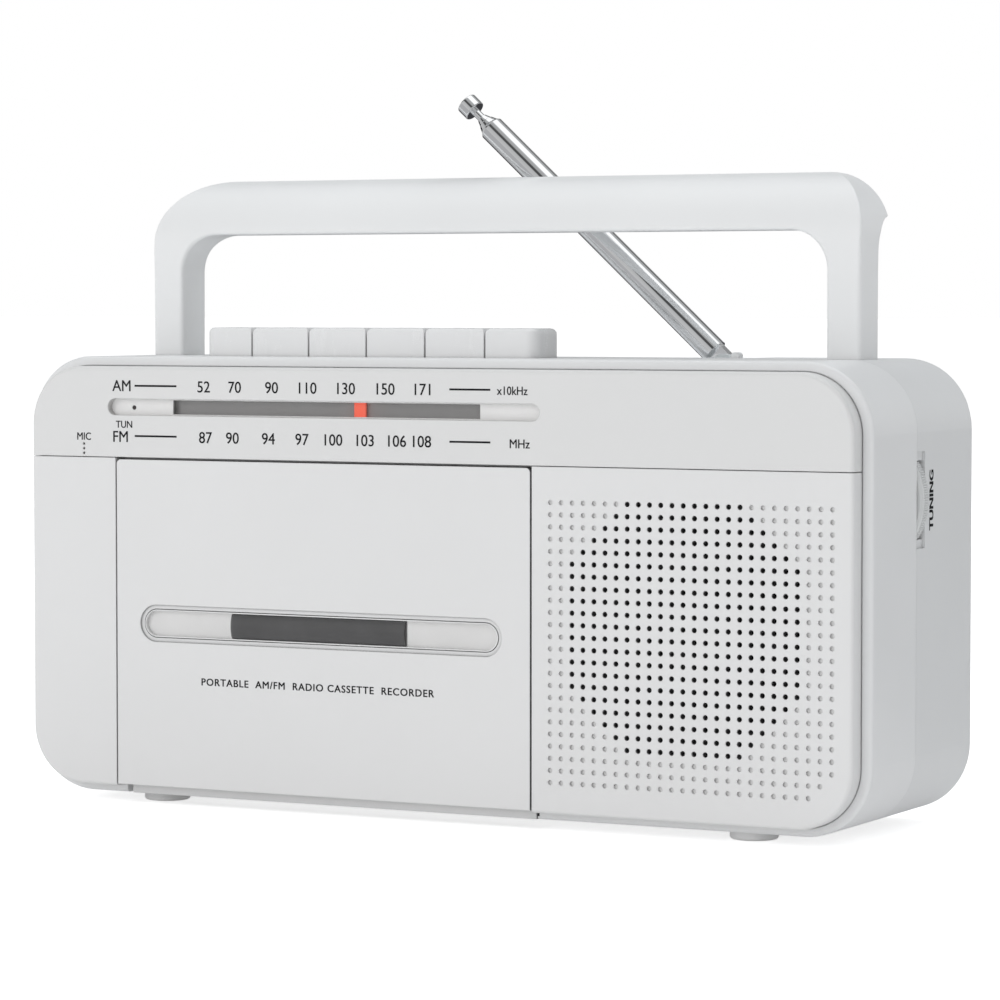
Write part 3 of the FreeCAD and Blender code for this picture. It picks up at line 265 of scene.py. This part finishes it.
def woven(name, colour, pitch=0.4, rough=0.9):
    """Pressed paper or braid, with crossing fibres."""
    s = Shader(name)
    place = s.place()
    fibres = s.noise(s.stretched(place, (1.0, 0.3, 3.0)), 1 / (pitch * MM), 4.0, 0.7)
    cross = s.noise(s.stretched(place, (3.0, 0.3, 1.0)), 1 / (pitch * MM), 4.0, 0.7)
    mesh = s.maths("ADD", fibres, cross)
    tint = s.mix(s.span(mesh, 0.8, 1.2), shade(colour, 0.75), shade(colour, 1.2))
    s.principled(Base_Color=tint, Roughness=rough, Normal=s.bump(mesh, 0.5, 0.05 * MM))
    return s.material


def circuit_board(name):
    """Green solder mask with paler copper runs under it."""
    s = Shader(name)
    place = s.place()
    runs = s.stretched(place, (180.0, 180.0, 180.0))
    cells = s.add("TexBrick", {"offset": 0.35, "squash": 0.6}, Vector=runs, Scale=1.0, Mortar_Size=0.05,
                  Color1=rgb(0.02, 0.10, 0.04), Color2=rgb(0.03, 0.15, 0.06), Mortar=rgb(0.10, 0.28, 0.12))
    grime = s.noise(place, 90.0, 3.0)
    tint = s.mix(s.span(grime, 0.3, 0.7, 0.0, 0.3), cells.outputs["Color"], rgb(0.02, 0.06, 0.03))
    s.principled(Base_Color=tint, Roughness=s.span(grime, 0.3, 0.7, 0.25, 0.4),
                 Normal=s.bump(cells.outputs["Fac"], 0.4, 0.04 * MM))
    return s.material


def ink(name, colour):
    """Pad-printed ink: dense, with slightly uneven cover."""
    s = Shader(name)
    place = s.place()
    cover = s.noise(place, 2600.0, 3.0, 0.7)
    tint = s.mix(s.span(cover, 0.35, 0.7), shade(colour, 0.8), shade(colour, 1.5))
    s.principled(Base_Color=tint, Roughness=s.span(cover, 0.3, 0.7, 0.60, 0.75),
                 Normal=s.bump(cover, 0.2, 0.01 * MM))
    s.bsdf.inputs["Specular IOR Level"].default_value = 0.15
    return s.material


# The smoked stretch of the door lens, where the cassette is seen.
SMOKED = (-55.75, -4.75)

looks = {
    "white_shell": moulded("white_shell", rgb(0.742, 0.748, 0.752), rough=0.36, drift=0.015),
    "white_front_shell": moulded("white_front_shell", rgb(0.790, 0.794, 0.798), rough=0.36, drift=0.015,
                                 dust_and_shade=0.05),
    "white_dial": moulded("white_dial", rgb(0.728, 0.727, 0.724), rough=0.44, drift=0.012, dust_and_shade=0.34),
    # The door's seams and crevices are painted near black: painted shade.
    "white_door": moulded("white_door", rgb(0.758, 0.757, 0.757), rough=0.44, drift=0.012, dust_and_shade=0.97,
                          dust_and_shade_colour=rgb(0.012, 0.012, 0.012)),
    "door_mask": lacquered("door_mask", rgb(0.79, 0.79, 0.79), rough=0.3),
    "white_fascia": moulded("white_fascia", rgb(0.758, 0.757, 0.757), rough=0.44, drift=0.012, dust_and_shade=0.16),
    # The grille's open holes are painted near black inside: painted shade.
    "white_grille": moulded("white_grille", rgb(0.758, 0.757, 0.757), rough=0.44, drift=0.012, dust_and_shade=0.20,
                            holes_painted_dark=(72.2, 51.55, 31.5, 46.5)),
    "white_handle": moulded("white_handle", rgb(0.835, 0.842, 0.845), rough=0.34, drift=0.015, grain=0.06),
    "white_key": moulded("white_key", rgb(0.82, 0.822, 0.824), rough=0.26, drift=0.015, grain=0.04,
                         edge=0.25),
    "wheel_plastic": moulded("wheel_plastic", rgb(0.70, 0.71, 0.71), rough=0.40, edge=0.1, dust_and_shade=0.16),
    "clear_lens": clear_window("clear_lens", (-900.0, -901.0)),
    "smoked_lens": clear_window("smoked_lens", SMOKED),
    "window_mask": lacquered("window_mask", rgb(0.93, 0.93, 0.93), rough=0.3),
    "dial_dark": moulded("dial_dark", rgb(0.375, 0.37, 0.37), rough=0.5, grain=0.15, dust_and_shade=0.0),
    # The pointer has a painted glow to look brighter; it is no lamp.
    "pointer_orange": lacquered("pointer_orange", rgb(1.0, 0.15, 0.085), rough=0.3, painted_glow=0.22),
    "led_lens": lacquered("led_lens", rgb(0.045, 0.035, 0.035), rough=0.2),
    "black_plastic": moulded("black_plastic", rgb(0.028, 0.028, 0.030), rough=0.5, grain=0.25, dust_and_shade=0.0,
                             drift=0.1),
    "steel": metal("steel", rgb(0.56, 0.57, 0.58), rough=0.32, along=(1.0, 1.0, 6.0), lines=500.0),
    "brass": metal("brass", rgb(0.70, 0.53, 0.24), rough=0.28, along=(6.0, 1.0, 6.0), lines=400.0),
    "nylon": moulded("nylon", rgb(0.72, 0.70, 0.63), rough=0.48, dust_and_shade=0.1, drift=0.04),
    "foot_pad": moulded("foot_pad", rgb(0.80, 0.80, 0.80), rough=0.7, grain=0.4, grain_size=0.3, dust_and_shade=0.2,
                        gloss=0.3),
    "rubber": moulded("rubber", rgb(0.075, 0.078, 0.080), rough=0.72, grain=0.5, grain_size=0.35, dust_and_shade=0.0,
                      gloss=0.35, drift=0.12),
    "paper": woven("paper", rgb(0.010, 0.010, 0.011)),
    "cord": woven("cord", rgb(0.60, 0.58, 0.50), 0.2, 0.8),
    "board": circuit_board("board"),
    "ferrite": moulded("ferrite", rgb(0.05, 0.05, 0.053), rough=0.55, grain=0.4, dust_and_shade=0.0, drift=0.2),
    "chrome": metal("chrome", rgb(0.86, 0.87, 0.88), rough=0.045, along=(0.3, 1.0, 0.3), lines=160.0,
                    tarnish=0.03, depth=0.004),
    "knuckle": lacquered("knuckle", rgb(0.60, 0.63, 0.64), rough=0.28),
    "printed": ink("printed", rgb(0.014, 0.014, 0.016)),
    "printed_grey": ink("printed_grey", rgb(0.10, 0.10, 0.105)),
}

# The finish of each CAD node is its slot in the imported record.
slots = {row["node"]: row["material_slot"] for row in frame["record"]["subparts"]}


def dress(obj, look):
    """Gives every material slot of an object one of the looks."""
    if not obj.material_slots:
        obj.data.materials.append(None)
    for entry in obj.material_slots:
        entry.material = looks[look]


for name, node in nodes.items():
    dress(node, slots[name])
own_looks = {"front_case": "white_front_shell", "dial_panel": "white_dial", "cassette_door": "white_door",
             "speaker_grille_panel": "white_grille"}
for name, look in own_looks.items():
    dress(nodes[name], look)


# The faces of the case, in millimetres.
FASCIA_FRONT, CASE_SIDE, CASE_BACK = -35.0, 119.5, 35.0

# ---- building blocks -----------------------------------------------------------

def add_piece(name, verts, faces, look, body, slot=None, smooth_angle=35.0, stands_for=()):
    """A mesh piece in millimetres that rides on a body."""
    mesh = bpy.data.meshes.new(name)
    mesh.from_pydata([[c * MM for c in v] for v in verts], [], faces)
    mesh.validate()
    tidy = bmesh.new()
    tidy.from_mesh(mesh)
    bmesh.ops.remove_doubles(tidy, verts=tidy.verts, dist=1e-7)
    bmesh.ops.recalc_face_normals(tidy, faces=tidy.faces)
    tidy.to_mesh(mesh)
    tidy.free()
    piece = bpy.data.objects.new(name, mesh)
    scene.collection.objects.link(piece)
    dress(piece, look)
    mesh.shade_smooth()
    mesh.set_sharp_from_angle(angle=math.radians(smooth_angle))
    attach(piece, body)
    if stands_for:
        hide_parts(*stands_for)
    return piece


def loft(rings, closed=False):
    """Verts and faces that skin a list of equal rings of points, with capped ends unless closed."""
    count = len(rings[0])
    verts = [point for ring in rings for point in ring]
    faces = []
    last = len(rings) if closed else len(rings) - 1
    for row in range(last):
        here, there = row * count, ((row + 1) % len(rings)) * count
        for k in range(count):
            j = (k + 1) % count
            faces.append((here + k, here + j, there + j, there + k))
    if not closed:
        faces.append(tuple(reversed(range(count))))
        faces.append(tuple(range((len(rings) - 1) * count, len(rings) * count)))
    return verts, faces


def join_parts(parts):
    """One list of verts and faces from several."""
    verts, faces = [], []
    for more_verts, more_faces in parts:
        start = len(verts)
        verts += more_verts
        faces += [tuple(i + start for i in face) for face in more_faces]
    return verts, faces


# ---- carrying handle -----------------------------------------------------------

HANDLE_OUTER, HANDLE_INNER = 102.6, 93.4
HANDLE_TOP, HANDLE_UNDER = 163.2, 148.5
OUTER_ROUND, INNER_ROUND = 16.0, 10.0
HANDLE_FRONT, LEG_REAR, BAR_REAR = 2.2, 14.2, 21.9
HANDLE_FOOT = 116.45
TAIL_ROUND = 0.7
NOSE_ROUND = BAR_REAR - HANDLE_FRONT - TAIL_ROUND
HOLLOW_LOW, HOLLOW_ROUND = 143.2, 9.0
FRONT_EDGE, REAR_EDGE, INNER_EDGE, FINE_EDGE = 1.3, 1.2, 1.1, 0.12


def handle_front_at(z):
    """Where the front of the handle is at a height, with its large nose rounding."""
    over = max(0.0, min(NOSE_ROUND, z - (HANDLE_TOP - NOSE_ROUND)))
    return HANDLE_FRONT + NOSE_ROUND - math.sqrt(max(0.0, NOSE_ROUND ** 2 - over ** 2))


def handle_rear_at(z):
    """Where the rear is: a straight leg, a hollow quarter-round, and the bar's flat back."""
    if z <= HOLLOW_LOW:
        return LEG_REAR
    rise = min(HOLLOW_ROUND, z - HOLLOW_LOW)
    sweep = LEG_REAR + HOLLOW_ROUND - math.sqrt(HOLLOW_ROUND ** 2 - rise ** 2)
    if sweep < BAR_REAR:
        return sweep
    over = max(0.0, min(TAIL_ROUND, z - (HANDLE_TOP - TAIL_ROUND)))
    return BAR_REAR - TAIL_ROUND + math.sqrt(max(0.0, TAIL_ROUND ** 2 - over ** 2))


def handle_stations():
    """Pairs of an inner and an outer point along the arch, from the left foot to the right foot."""
    right = []
    leg_top_out, leg_top_in = HANDLE_TOP - OUTER_ROUND, HANDLE_UNDER - INNER_ROUND
    for k in range(25):
        share = k / 25
        right.append(((HANDLE_INNER, HANDLE_FOOT + (leg_top_in - HANDLE_FOOT) * share),
                      (HANDLE_OUTER, HANDLE_FOOT + (leg_top_out - HANDLE_FOOT) * share)))
    for k in range(41):
        turn = math.radians(90 * k / 40)
        right.append(((HANDLE_INNER - INNER_ROUND + INNER_ROUND * math.cos(turn),
                       HANDLE_UNDER - INNER_ROUND + INNER_ROUND * math.sin(turn)),
                      (HANDLE_OUTER - OUTER_ROUND + OUTER_ROUND * math.cos(turn),
                       HANDLE_TOP - OUTER_ROUND + OUTER_ROUND * math.sin(turn))))
    for k in range(1, 12):
        share = k / 12
        right.append((((HANDLE_INNER - INNER_ROUND) * (1 - share), HANDLE_UNDER),
                      ((HANDLE_OUTER - OUTER_ROUND) * (1 - share), HANDLE_TOP)))
    middle = [((0.0, HANDLE_UNDER), (0.0, HANDLE_TOP))]
    left = [((-a[0], a[1]), (-b[0], b[1])) for a, b in right]
    return left + middle + right[::-1]


def handle_ring(inner, outer):
    """One section of the handle: front, outer side, rear and inner side with rounded corners."""
    length = math.dist(inner, outer)
    steep = (outer[1] - inner[1]) / length

    def at(s):
        share = s / length
        return inner[0] + (outer[0] - inner[0]) * share, inner[1] + (outer[1] - inner[1]) * share

    # The outer corners are small on the legs and left to the nose and tail roundings on the bar.
    flat = max(0.0, min(1.0, (steep - 0.55) / 0.4))
    front_round = FRONT_EDGE * (1 - flat) + FINE_EDGE * flat
    rear_round = REAR_EDGE * (1 - flat) + FINE_EDGE * flat
    inner_round = INNER_EDGE
    ring = []

    def add(s, y_of, shift):
        x, z = at(s)
        ring.append((x, y_of(z) + shift, z))

    steps = 7
    run = 22
    # front inner corner, then the front face, thicker with points towards the nose
    for k in range(steps + 1):
        turn = math.radians(90 * k / steps)
        add(inner_round * (1 - math.sin(turn)), handle_front_at, inner_round * (1 - math.cos(turn)))
    ring.reverse()
    for k in range(1, run):
        share = math.sin(math.radians(90 * k / run))
        add(inner_round + (length - inner_round - front_round) * share, handle_front_at, 0)
    for k in range(steps + 1):
        turn = math.radians(90 * k / steps)
        add(length - front_round * (1 - math.sin(turn)), handle_front_at, front_round * (1 - math.cos(turn)))
    for k in range(steps + 1):
        turn = math.radians(90 * k / steps)
        add(length - rear_round * (1 - math.cos(turn)), handle_rear_at, -rear_round * (1 - math.sin(turn)))
    for k in range(1, run):
        share = 1 - math.cos(math.radians(90 * k / run))
        add(length - rear_round - (length - inner_round - rear_round) * share, handle_rear_at, 0)
    for k in range(steps + 1):
        turn = math.radians(90 * k / steps)
        add(inner_round * (1 - math.sin(turn)), handle_rear_at, -inner_round * (1 - math.cos(turn)))
    return ring


handle_rings = [handle_ring(inner, outer) for inner, outer in handle_stations()]
add_piece("carrying_handle", *loft(handle_rings), "white_handle", "case", "white_handle", 50.0,
          ["carry_handle"])


# ---- thumbwheels ---------------------------------------------------------------

WHEEL_X, WHEEL_Z = 103.3, 82.5
KNURLS = 180
KNURL_DEPTH = 0.32


def wheel_mesh(x, shaft=False):
    """A thumbwheel: knurled rim between two bevelled flanges, a sunk web, and a hub with a bore or shaft."""
    # (radius, Y, 1 where the knurling cuts in)
    profile = [
        (4.4, -2.2, 0), (4.4, -1.0, 0), (14.8, -1.0, 0), (15.0, -2.2, 0), (16.9, -2.2, 0),
        (17.55, -1.75, 0), (17.75, -1.25, 0), (18.0, -1.15, 1), (18.0, 1.15, 1), (17.75, 1.25, 0),
        (17.55, 1.75, 0), (16.9, 2.2, 0), (15.0, 2.2, 0), (14.8, 1.0, 0), (4.4, 1.0, 0), (4.4, 2.2, 0),
        (2.0, 2.2, 0),
    ]
    profile += [(2.0, 11.7, 0), (1.7, 12.0, 0)] if shaft else [(2.0, -2.2, 0)]
    rings = []
    count = KNURLS * 4
    for radius, y, cut in profile:
        ring = []
        for k in range(count):
            turn = 2 * math.pi * k / count
            r = radius - cut * KNURL_DEPTH * (1, 0.75, 0, 0.25)[k % 4]
            ring.append((x + r * math.cos(turn), y, WHEEL_Z + r * math.sin(turn)))
        rings.append(ring)
    return loft(rings, closed=not shaft)


tuning_mesh, volume_mesh = wheel_mesh(WHEEL_X), wheel_mesh(-WHEEL_X, shaft=True)
for name, mesh, body, old in (("tuning_thumbwheel", tuning_mesh, "tuning", "tuning_wheel"),
                              ("volume_thumbwheel", volume_mesh, "volume", "volume_wheel")):
    add_piece(name, *mesh, "wheel_plastic", body, "wheel_plastic", 30.0, [old])

# ---- window lenses ---------------------------------------------------------------

def pill_outline(x0, x1, z0, z1, inset):
    """The points of a slot with round ends, in the XZ plane."""
    radius, middle = (z1 - z0) / 2 - inset, (z0 + z1) / 2
    points = []
    for end, start in ((x1 - (z1 - z0) / 2, -90), (x0 + (z1 - z0) / 2, 90)):
        for k in range(25):
            turn = math.radians(start + 180 * k / 24)
            points.append((end + radius * math.cos(turn), middle + radius * math.sin(turn)))
    return points


def lens(name, window, front, back, sag, look, body, stands_for):
    """A clear slot-shaped lens with a barrel front and a rounded edge."""
    edge, half, middle = 0.5, (window[3] - window[2]) / 2, (window[2] + window[3]) / 2
    steps = [(half - 0.05 - (half - 0.05 - edge) * k / 10, 0.0) for k in range(10)]
    for k in range(8):
        turn = math.radians(90 * k / 7)
        steps.append((edge * (1 - math.sin(turn)), edge * (1 - math.cos(turn))))
    rings = []
    for inset, back_off in steps:
        rings.append([(x, front + back_off + sag * ((z - middle) / half) ** 2, z)
                      for x, z in pill_outline(*window, inset)])
    rings.append([(x, back, z) for x, z in pill_outline(*window, 0.0)])
    return add_piece(name, *loft(rings), look, body, "clear_lens", 40.0, [stands_for])


DOOR_SLOT = (-81.9, 21.6, 44.0, 51.2)
RIM_FRONT, PAD_FRONT, FLANGE_FRONT, FLANGE_REAR = -34.6, -33.5, -32.75, -32.0
RIM_OUTER, RIM_INNER = 0.04, 0.34


def sight_outline(grow):
    """The rounded corners of the opening behind the smoked stretch, in the order of pill_outline."""
    corner, edge = 1.0, 0.3
    left, right = SMOKED[0] - 0.4, SMOKED[1] - 0.7
    low, high = DOOR_SLOT[2] + edge, DOOR_SLOT[3] - edge
    reach = corner + grow
    points = []
    for x, z, start in ((right, low, -90), (right, high, 0), (left, high, 90), (left, low, 180)):
        middle_x = x - corner if x == right else x + corner
        middle_z = z + corner if z == low else z - corner
        for k in range(12 if start in (-90, 90) else 13):
            turn = math.radians(start + 90 * k / 12)
            points.append((middle_x + reach * math.cos(turn), middle_z + reach * math.sin(turn)))
    return points


def backing_plate():
    """The white tray that holds the door lens: a flange, a rim round the lens, and a bevelled opening."""
    flange, outside, inside = (pill_outline(*DOOR_SLOT, inset) for inset in (-1.5, RIM_OUTER, RIM_INNER))
    bevel = 0.15
    wide, opening = sight_outline(bevel), sight_outline(0.0)
    sections = ((flange, FLANGE_REAR), (flange, FLANGE_FRONT), (outside, FLANGE_FRONT), (outside, RIM_FRONT),
                (inside, RIM_FRONT), (inside, PAD_FRONT), (wide, PAD_FRONT), (opening, PAD_FRONT + bevel),
                (opening, FLANGE_REAR))
    rings = [[(x, y, z) for x, z in points] for points, y in sections]
    return add_piece("door_backing_plate", *loft(rings, closed=True), "door_mask", "door", "window_mask",
                     30.0, ["door_window_mask"])


backing_plate()
# A small gap behind and round each lens keeps its faces off those of its neighbours.
LENS_ROOM = 0.12
RIM_ROOM = RIM_INNER + 0.03
DIAL_SLOT = (-92.7, 33.1, 101.5, 105.5)
DIAL_LENS_FRONT, DIAL_PLATE_FRONT = -34.9, -33.0
door_glass = [edge + side * RIM_ROOM for edge, side in zip(DOOR_SLOT, (1, -1, 1, -1))]
lens("door_lens", door_glass, FASCIA_FRONT, PAD_FRONT - LENS_ROOM, 0.7, "smoked_lens", "door", "door_window")
lens("dial_lens", DIAL_SLOT, DIAL_LENS_FRONT, DIAL_PLATE_FRONT - LENS_ROOM, 0.15, "clear_lens", "case",
     "dial_window")

# ---- lettering -----------------------------------------------------------------

PRINT_THICKNESS = 0.03


def lettering(name, entries, plane, body, look="printed", bold=0.0, spacing=1.0):
    """Printed text as one thin mesh.
    Each entry is (words, place across, place up, height, anchor, width factor), and plane turns
    (across, up, out) in millimetres into the row frame. Bold text is overprinted, shifted by bold."""
    parts = []
    for words, across, up, height, anchor, width in entries:
        curve = bpy.data.curves.new(name, "FONT")
        curve.body = words
        curve.align_x = anchor
        curve.resolution_u = 4
        curve.space_character = spacing
        curve.fill_mode = "FRONT"
        maker = bpy.data.objects.new(name, curve)
        scene.collection.objects.link(maker)
        bpy.context.view_layer.update()
        flat = bpy.data.meshes.new_from_object(maker.evaluated_get(bpy.context.evaluated_depsgraph_get()))
        size = height / 0.729
        faces = [tuple(f.vertices) for f in flat.polygons]
        shifts = ((0, 0), (-1, -0.5), (1, -0.5), (-1, 0.5), (1, 0.5)) if bold else ((0, 0),)
        for layer, (right, rise) in enumerate(shifts):
            out = PRINT_THICKNESS + 0.002 * layer
            start_x, start_up = across + right * bold, up + rise * bold
            verts = [plane(start_x + v.co.x * size * width, start_up + v.co.y * size, out)
                     for v in flat.vertices]
            parts.append((verts, faces))
        bpy.data.objects.remove(maker)
        bpy.data.meshes.remove(flat)
    return add_piece(name, *join_parts(parts), look, body, None, 180.0)


def rule(x0, x1, z, thick, plane):
    """A printed line."""
    corners = ((x0, z - thick / 2), (x1, z - thick / 2), (x1, z + thick / 2), (x0, z + thick / 2))
    return [plane(x, up, PRINT_THICKNESS) for x, up in corners], [(0, 1, 2, 3)]


def on_front(across, up, out):
    """The fascia, with lettering that reads level from the front."""
    return (across, FASCIA_FRONT - out, up)


AM_ROW, FM_ROW = 107.5, 94.5
numbers = []
for words, x in (("52", -63.6), ("70", -54.3), ("90", -43.3), ("110", -33.0), ("130", -21.8), ("150", -10.4),
                 ("171", 0.5)):
    numbers.append((words, x, AM_ROW, 3.0, "CENTER", 0.98))
for words, x in (("87", -63.1), ("90", -55.0), ("94", -44.3), ("97", -34.4), ("100", -25.5), ("103", -16.2),
                 ("106", -7.1), ("108", 0.0)):
    numbers.append((words, x, FM_ROW, 3.0, "CENTER", 0.98))
numbers += [
    ("AM", -91.4, AM_ROW + 0.1, 3.0, "LEFT", 0.98),
    ("FM", -91.5, FM_ROW - 0.1, 3.0, "LEFT", 0.98),
    ("x10kHz", 25.7, AM_ROW + 0.3, 2.2, "CENTER", 0.9),
    ("MHz", 27.7, FM_ROW + 0.2, 2.3, "CENTER", 0.95),
    ("TUN", -87.8, 98.1, 1.9, "CENTER", 0.95),
    ("MIC", -100.3, 94.8, 2.0, "CENTER", 0.95),
]
lettering("dial_numbers", numbers, on_front, "case", bold=0.035)
rules = [rule(x0, x1, z, 0.48, on_front) for x0, x1 in ((-84.6, -71.8), (8.1, 19.6)) for z in (109.0, 96.0)]
add_piece("dial_rules", *join_parts(rules), "printed", "case", None, 180.0)
door_words = [("PORTABLE  AM/FM  RADIO CASSETTE  RECORDER", -30.5, 32.1, 1.9, "CENTER", 1.05)]
lettering("door_words", door_words, on_front, "door", bold=0.05, spacing=1.13)


# Where the words beside the thumbwheels start.
WHEEL_WORD_Y, WHEEL_WORD_Z = 8.7, 74.9


def on_right(across, up, out):
    """Side plane whose lettering reads upwards."""
    return (CASE_SIDE + out, WHEEL_WORD_Y - up, WHEEL_WORD_Z + across)


lettering("tuning_word", [("TUNING", 0.0, 0.5, 2.6, "LEFT", 1.08)], on_right, "case", bold=0.16)


def on_left(across, up, out):
    """Side plane seen from the left, with lettering that reads level."""
    return (-CASE_SIDE - out, -across, up)


def on_left_upward(across, up, out):
    """The same plane with lettering that reads upwards, beside the volume wheel."""
    return (-CASE_SIDE - out, WHEEL_WORD_Y + up, WHEEL_WORD_Z + across)


def on_back(across, up, out):
    """The back, with lettering that reads level from behind."""
    return (-across, CASE_BACK + out, up)


lettering("volume_word", [("VOLUME", 0.0, 0.5, 2.6, "LEFT", 1.08)], on_left_upward, "case", bold=0.13)
side_words = [
    ("AM", -9.2, 62.9, 2.2, "LEFT", 1.0), ("FM", -9.2, 57.2, 2.2, "LEFT", 1.0),
    ("EARPHONE", -18.0, 47.3, 2.0, "CENTER", 1.0), ("AC INPUT", -18.0, 37.3, 2.0, "CENTER", 1.0),
]
lettering("side_words", side_words, on_left, "case", bold=0.06)
lettering("hatch_word", [("OPEN", 0.0, 24.0, 2.6, "CENTER", 1.05)], on_back, "battery_hatch", "printed_grey",
          bold=0.06)

# ---- symbols on the keys ---------------------------------------------------------

KEY_TOP, KEY_MIDDLE = 124.0, -5.5
KEY_EDGES = (-78.0, -63.3, -46.2, -29.0, -11.8, 5.5, 20.2)


def on_keys(across, up, out):
    """The tops of the keys, with symbols that read level from the front."""
    return (across, KEY_MIDDLE + up, KEY_TOP + out)


def outline(points, x):
    """A flat symbol on a key, from its outline round the key's middle."""
    return [on_keys(x + a, b, PRINT_THICKNESS) for a, b in points], [tuple(range(len(points)))]


def arrow(start, way, reach=2.1, half=1.3):
    """The outline of a triangle that points left or right."""
    return [(start, -half), (start + way * reach, 0.0), (start, half)]


def bar(left, right, low=-1.3, high=1.3):
    """The outline of an upright bar."""
    return [(left, low), (right, low), (right, high), (left, high)]


dot = [(1.35 * math.cos(math.radians(a)), 1.35 * math.sin(math.radians(a))) for a in range(0, 360, 12)]
key_symbols = {
    "record": [dot],
    "play": [arrow(-1.0, 1, 2.4, 1.4)],
    "rewind": [arrow(0.0, -1), arrow(2.1, -1)],
    "fast_forward": [arrow(0.0, 1), arrow(-2.1, 1)],
    "stop_eject": [bar(-3.4, -1.0), [(0.6, -0.5), (3.4, -0.5), (2.0, 1.3)], bar(0.6, 3.4, -1.3, -0.9)],
    "pause": [bar(-1.2, -0.4), bar(0.4, 1.2)],
}
for number, (key_name, shapes) in enumerate(key_symbols.items()):
    key_x = (KEY_EDGES[number] + KEY_EDGES[number + 1]) / 2
    symbol = join_parts([outline(points, key_x) for points in shapes])
    add_piece(key_name + "_symbol", *symbol, "printed_grey", key_name + "_button", None, 180.0)

# ---- light and floor -------------------------------------------------------------

floor_mesh = bpy.data.meshes.new("floor")
floor_mesh.from_pydata([(-30, -30, 0), (30, -30, 0), (30, 30, 0), (-30, 30, 0)], [], [(0, 1, 2, 3)])
floor = bpy.data.objects.new("floor", floor_mesh)
scene.collection.objects.link(floor)
cover = Shader("floor")
cover_place = cover.place()
cover_tint = cover.mix(cover.noise(cover_place, 3.0, 3.0), rgb(0.90, 0.90, 0.90), rgb(0.92, 0.92, 0.92))
cover_paths = cover.add("LightPath").outputs
cover_glow = cover.span(cover_paths["Is Camera Ray"], 0.0, 1.0, 0.13, 0.62)
cover.principled(Base_Color=cover_tint, Roughness=0.85, Emission_Color=rgb(1.0, 1.0, 1.0),
                 Emission_Strength=cover_glow)
beyond = cover.span(cover.add("SeparateXYZ", None, Vector=cover_place).outputs["Y"], 0.13, 0.28)
table = cover.add("Emission", None, Color=cover.mix(beyond, rgb(0.46, 0.46, 0.47), rgb(0.05, 0.05, 0.055)))
# Polished metal sees a grey table that goes dark behind the object, not the bright floor.
cover_seen = cover.blend(cover_paths["Is Glossy Ray"], cover.bsdf.outputs["BSDF"], table.outputs["Emission"])
cover.put(cover.out.inputs["Surface"], cover_seen)
cover.material.cycles.emission_sampling = "NONE"
floor_mesh.materials.append(cover.material)

AMBIENT = 0.50
world = bpy.data.worlds.new("studio")
world.use_nodes = True
links, world_nodes = world.node_tree.links, world.node_tree.nodes
world_nodes.clear()


def world_node(kind, **values):
    node = world_nodes.new("ShaderNode" + kind)
    for key, value in values.items():
        socket = node.inputs[key]
        if isinstance(value, bpy.types.NodeSocket):
            links.new(value, socket)
        else:
            socket.default_value = value
    return node


def backdrop(colour, strength=1.0):
    return world_node("Background", Color=colour, Strength=strength).outputs["Background"]


# Mirrors see a bright ceiling, a dark ring below it, and pale walls.
upward = world_node("SeparateXYZ", Vector=world_node("TexCoord").outputs["Generated"]).outputs["Z"]
studio = world_node("ValToRGB", Fac=upward)
ramp = studio.color_ramp
for stop, level in ((0.38, 0.52), (0.45, 0.08), (0.62, 0.08), (0.68, 0.42), (0.85, 0.46), (0.90, 1.25)):
    element = ramp.elements.new(stop)
    element.color = rgb(level * 0.985, level * 0.995, level)
ramp.elements[0].color = rgb(0.60, 0.60, 0.60)
ramp.elements[-1].color = rgb(1.25, 1.25, 1.25)
paths = world_node("LightPath").outputs
lit = backdrop(rgb(0.985, 0.992, 1.0), AMBIENT)
reflected, plain_white = backdrop(studio.outputs["Color"]), backdrop(rgb(1.0, 1.0, 1.0))
for ray, seen in (("Is Glossy Ray", reflected), ("Is Camera Ray", plain_white)):
    mixer = world_nodes.new("ShaderNodeMixShader")
    links.new(paths[ray], mixer.inputs[0])
    links.new(lit, mixer.inputs[1])
    links.new(seen, mixer.inputs[2])
    lit = mixer.outputs["Shader"]
links.new(lit, world_nodes.new("ShaderNodeOutputWorld").inputs["Surface"])
scene.world = world


def softbox(name, place, target, size, power, colour=(1.0, 1.0, 1.0)):
    """A large soft area light."""
    data = bpy.data.lights.new(name, "AREA")
    data.shape = "RECTANGLE"
    data.size, data.size_y = size
    data.energy = power
    data.color = colour
    lamp = bpy.data.objects.new(name, data)
    lamp.visible_glossy = False
    lamp.location = place
    lamp.rotation_mode = "QUATERNION"
    lamp.rotation_quaternion = (Vector(target) - Vector(place)).to_track_quat("-Z", "Y")
    scene.collection.objects.link(lamp)
    return lamp


softbox("front_box", (-1.0, -2.2, 1.35), (0, 0, 0.08), (1.8, 1.4), 17.0)
softbox("low_box", (-0.3, -2.4, 0.16), (0, 0, 0.05), (2.4, 0.5), 9.0)
softbox("top_box", (0.3, 1.0, 2.4), (0, 0, 0.1), (2.2, 1.8), 31.0, (0.93, 0.97, 1.0))
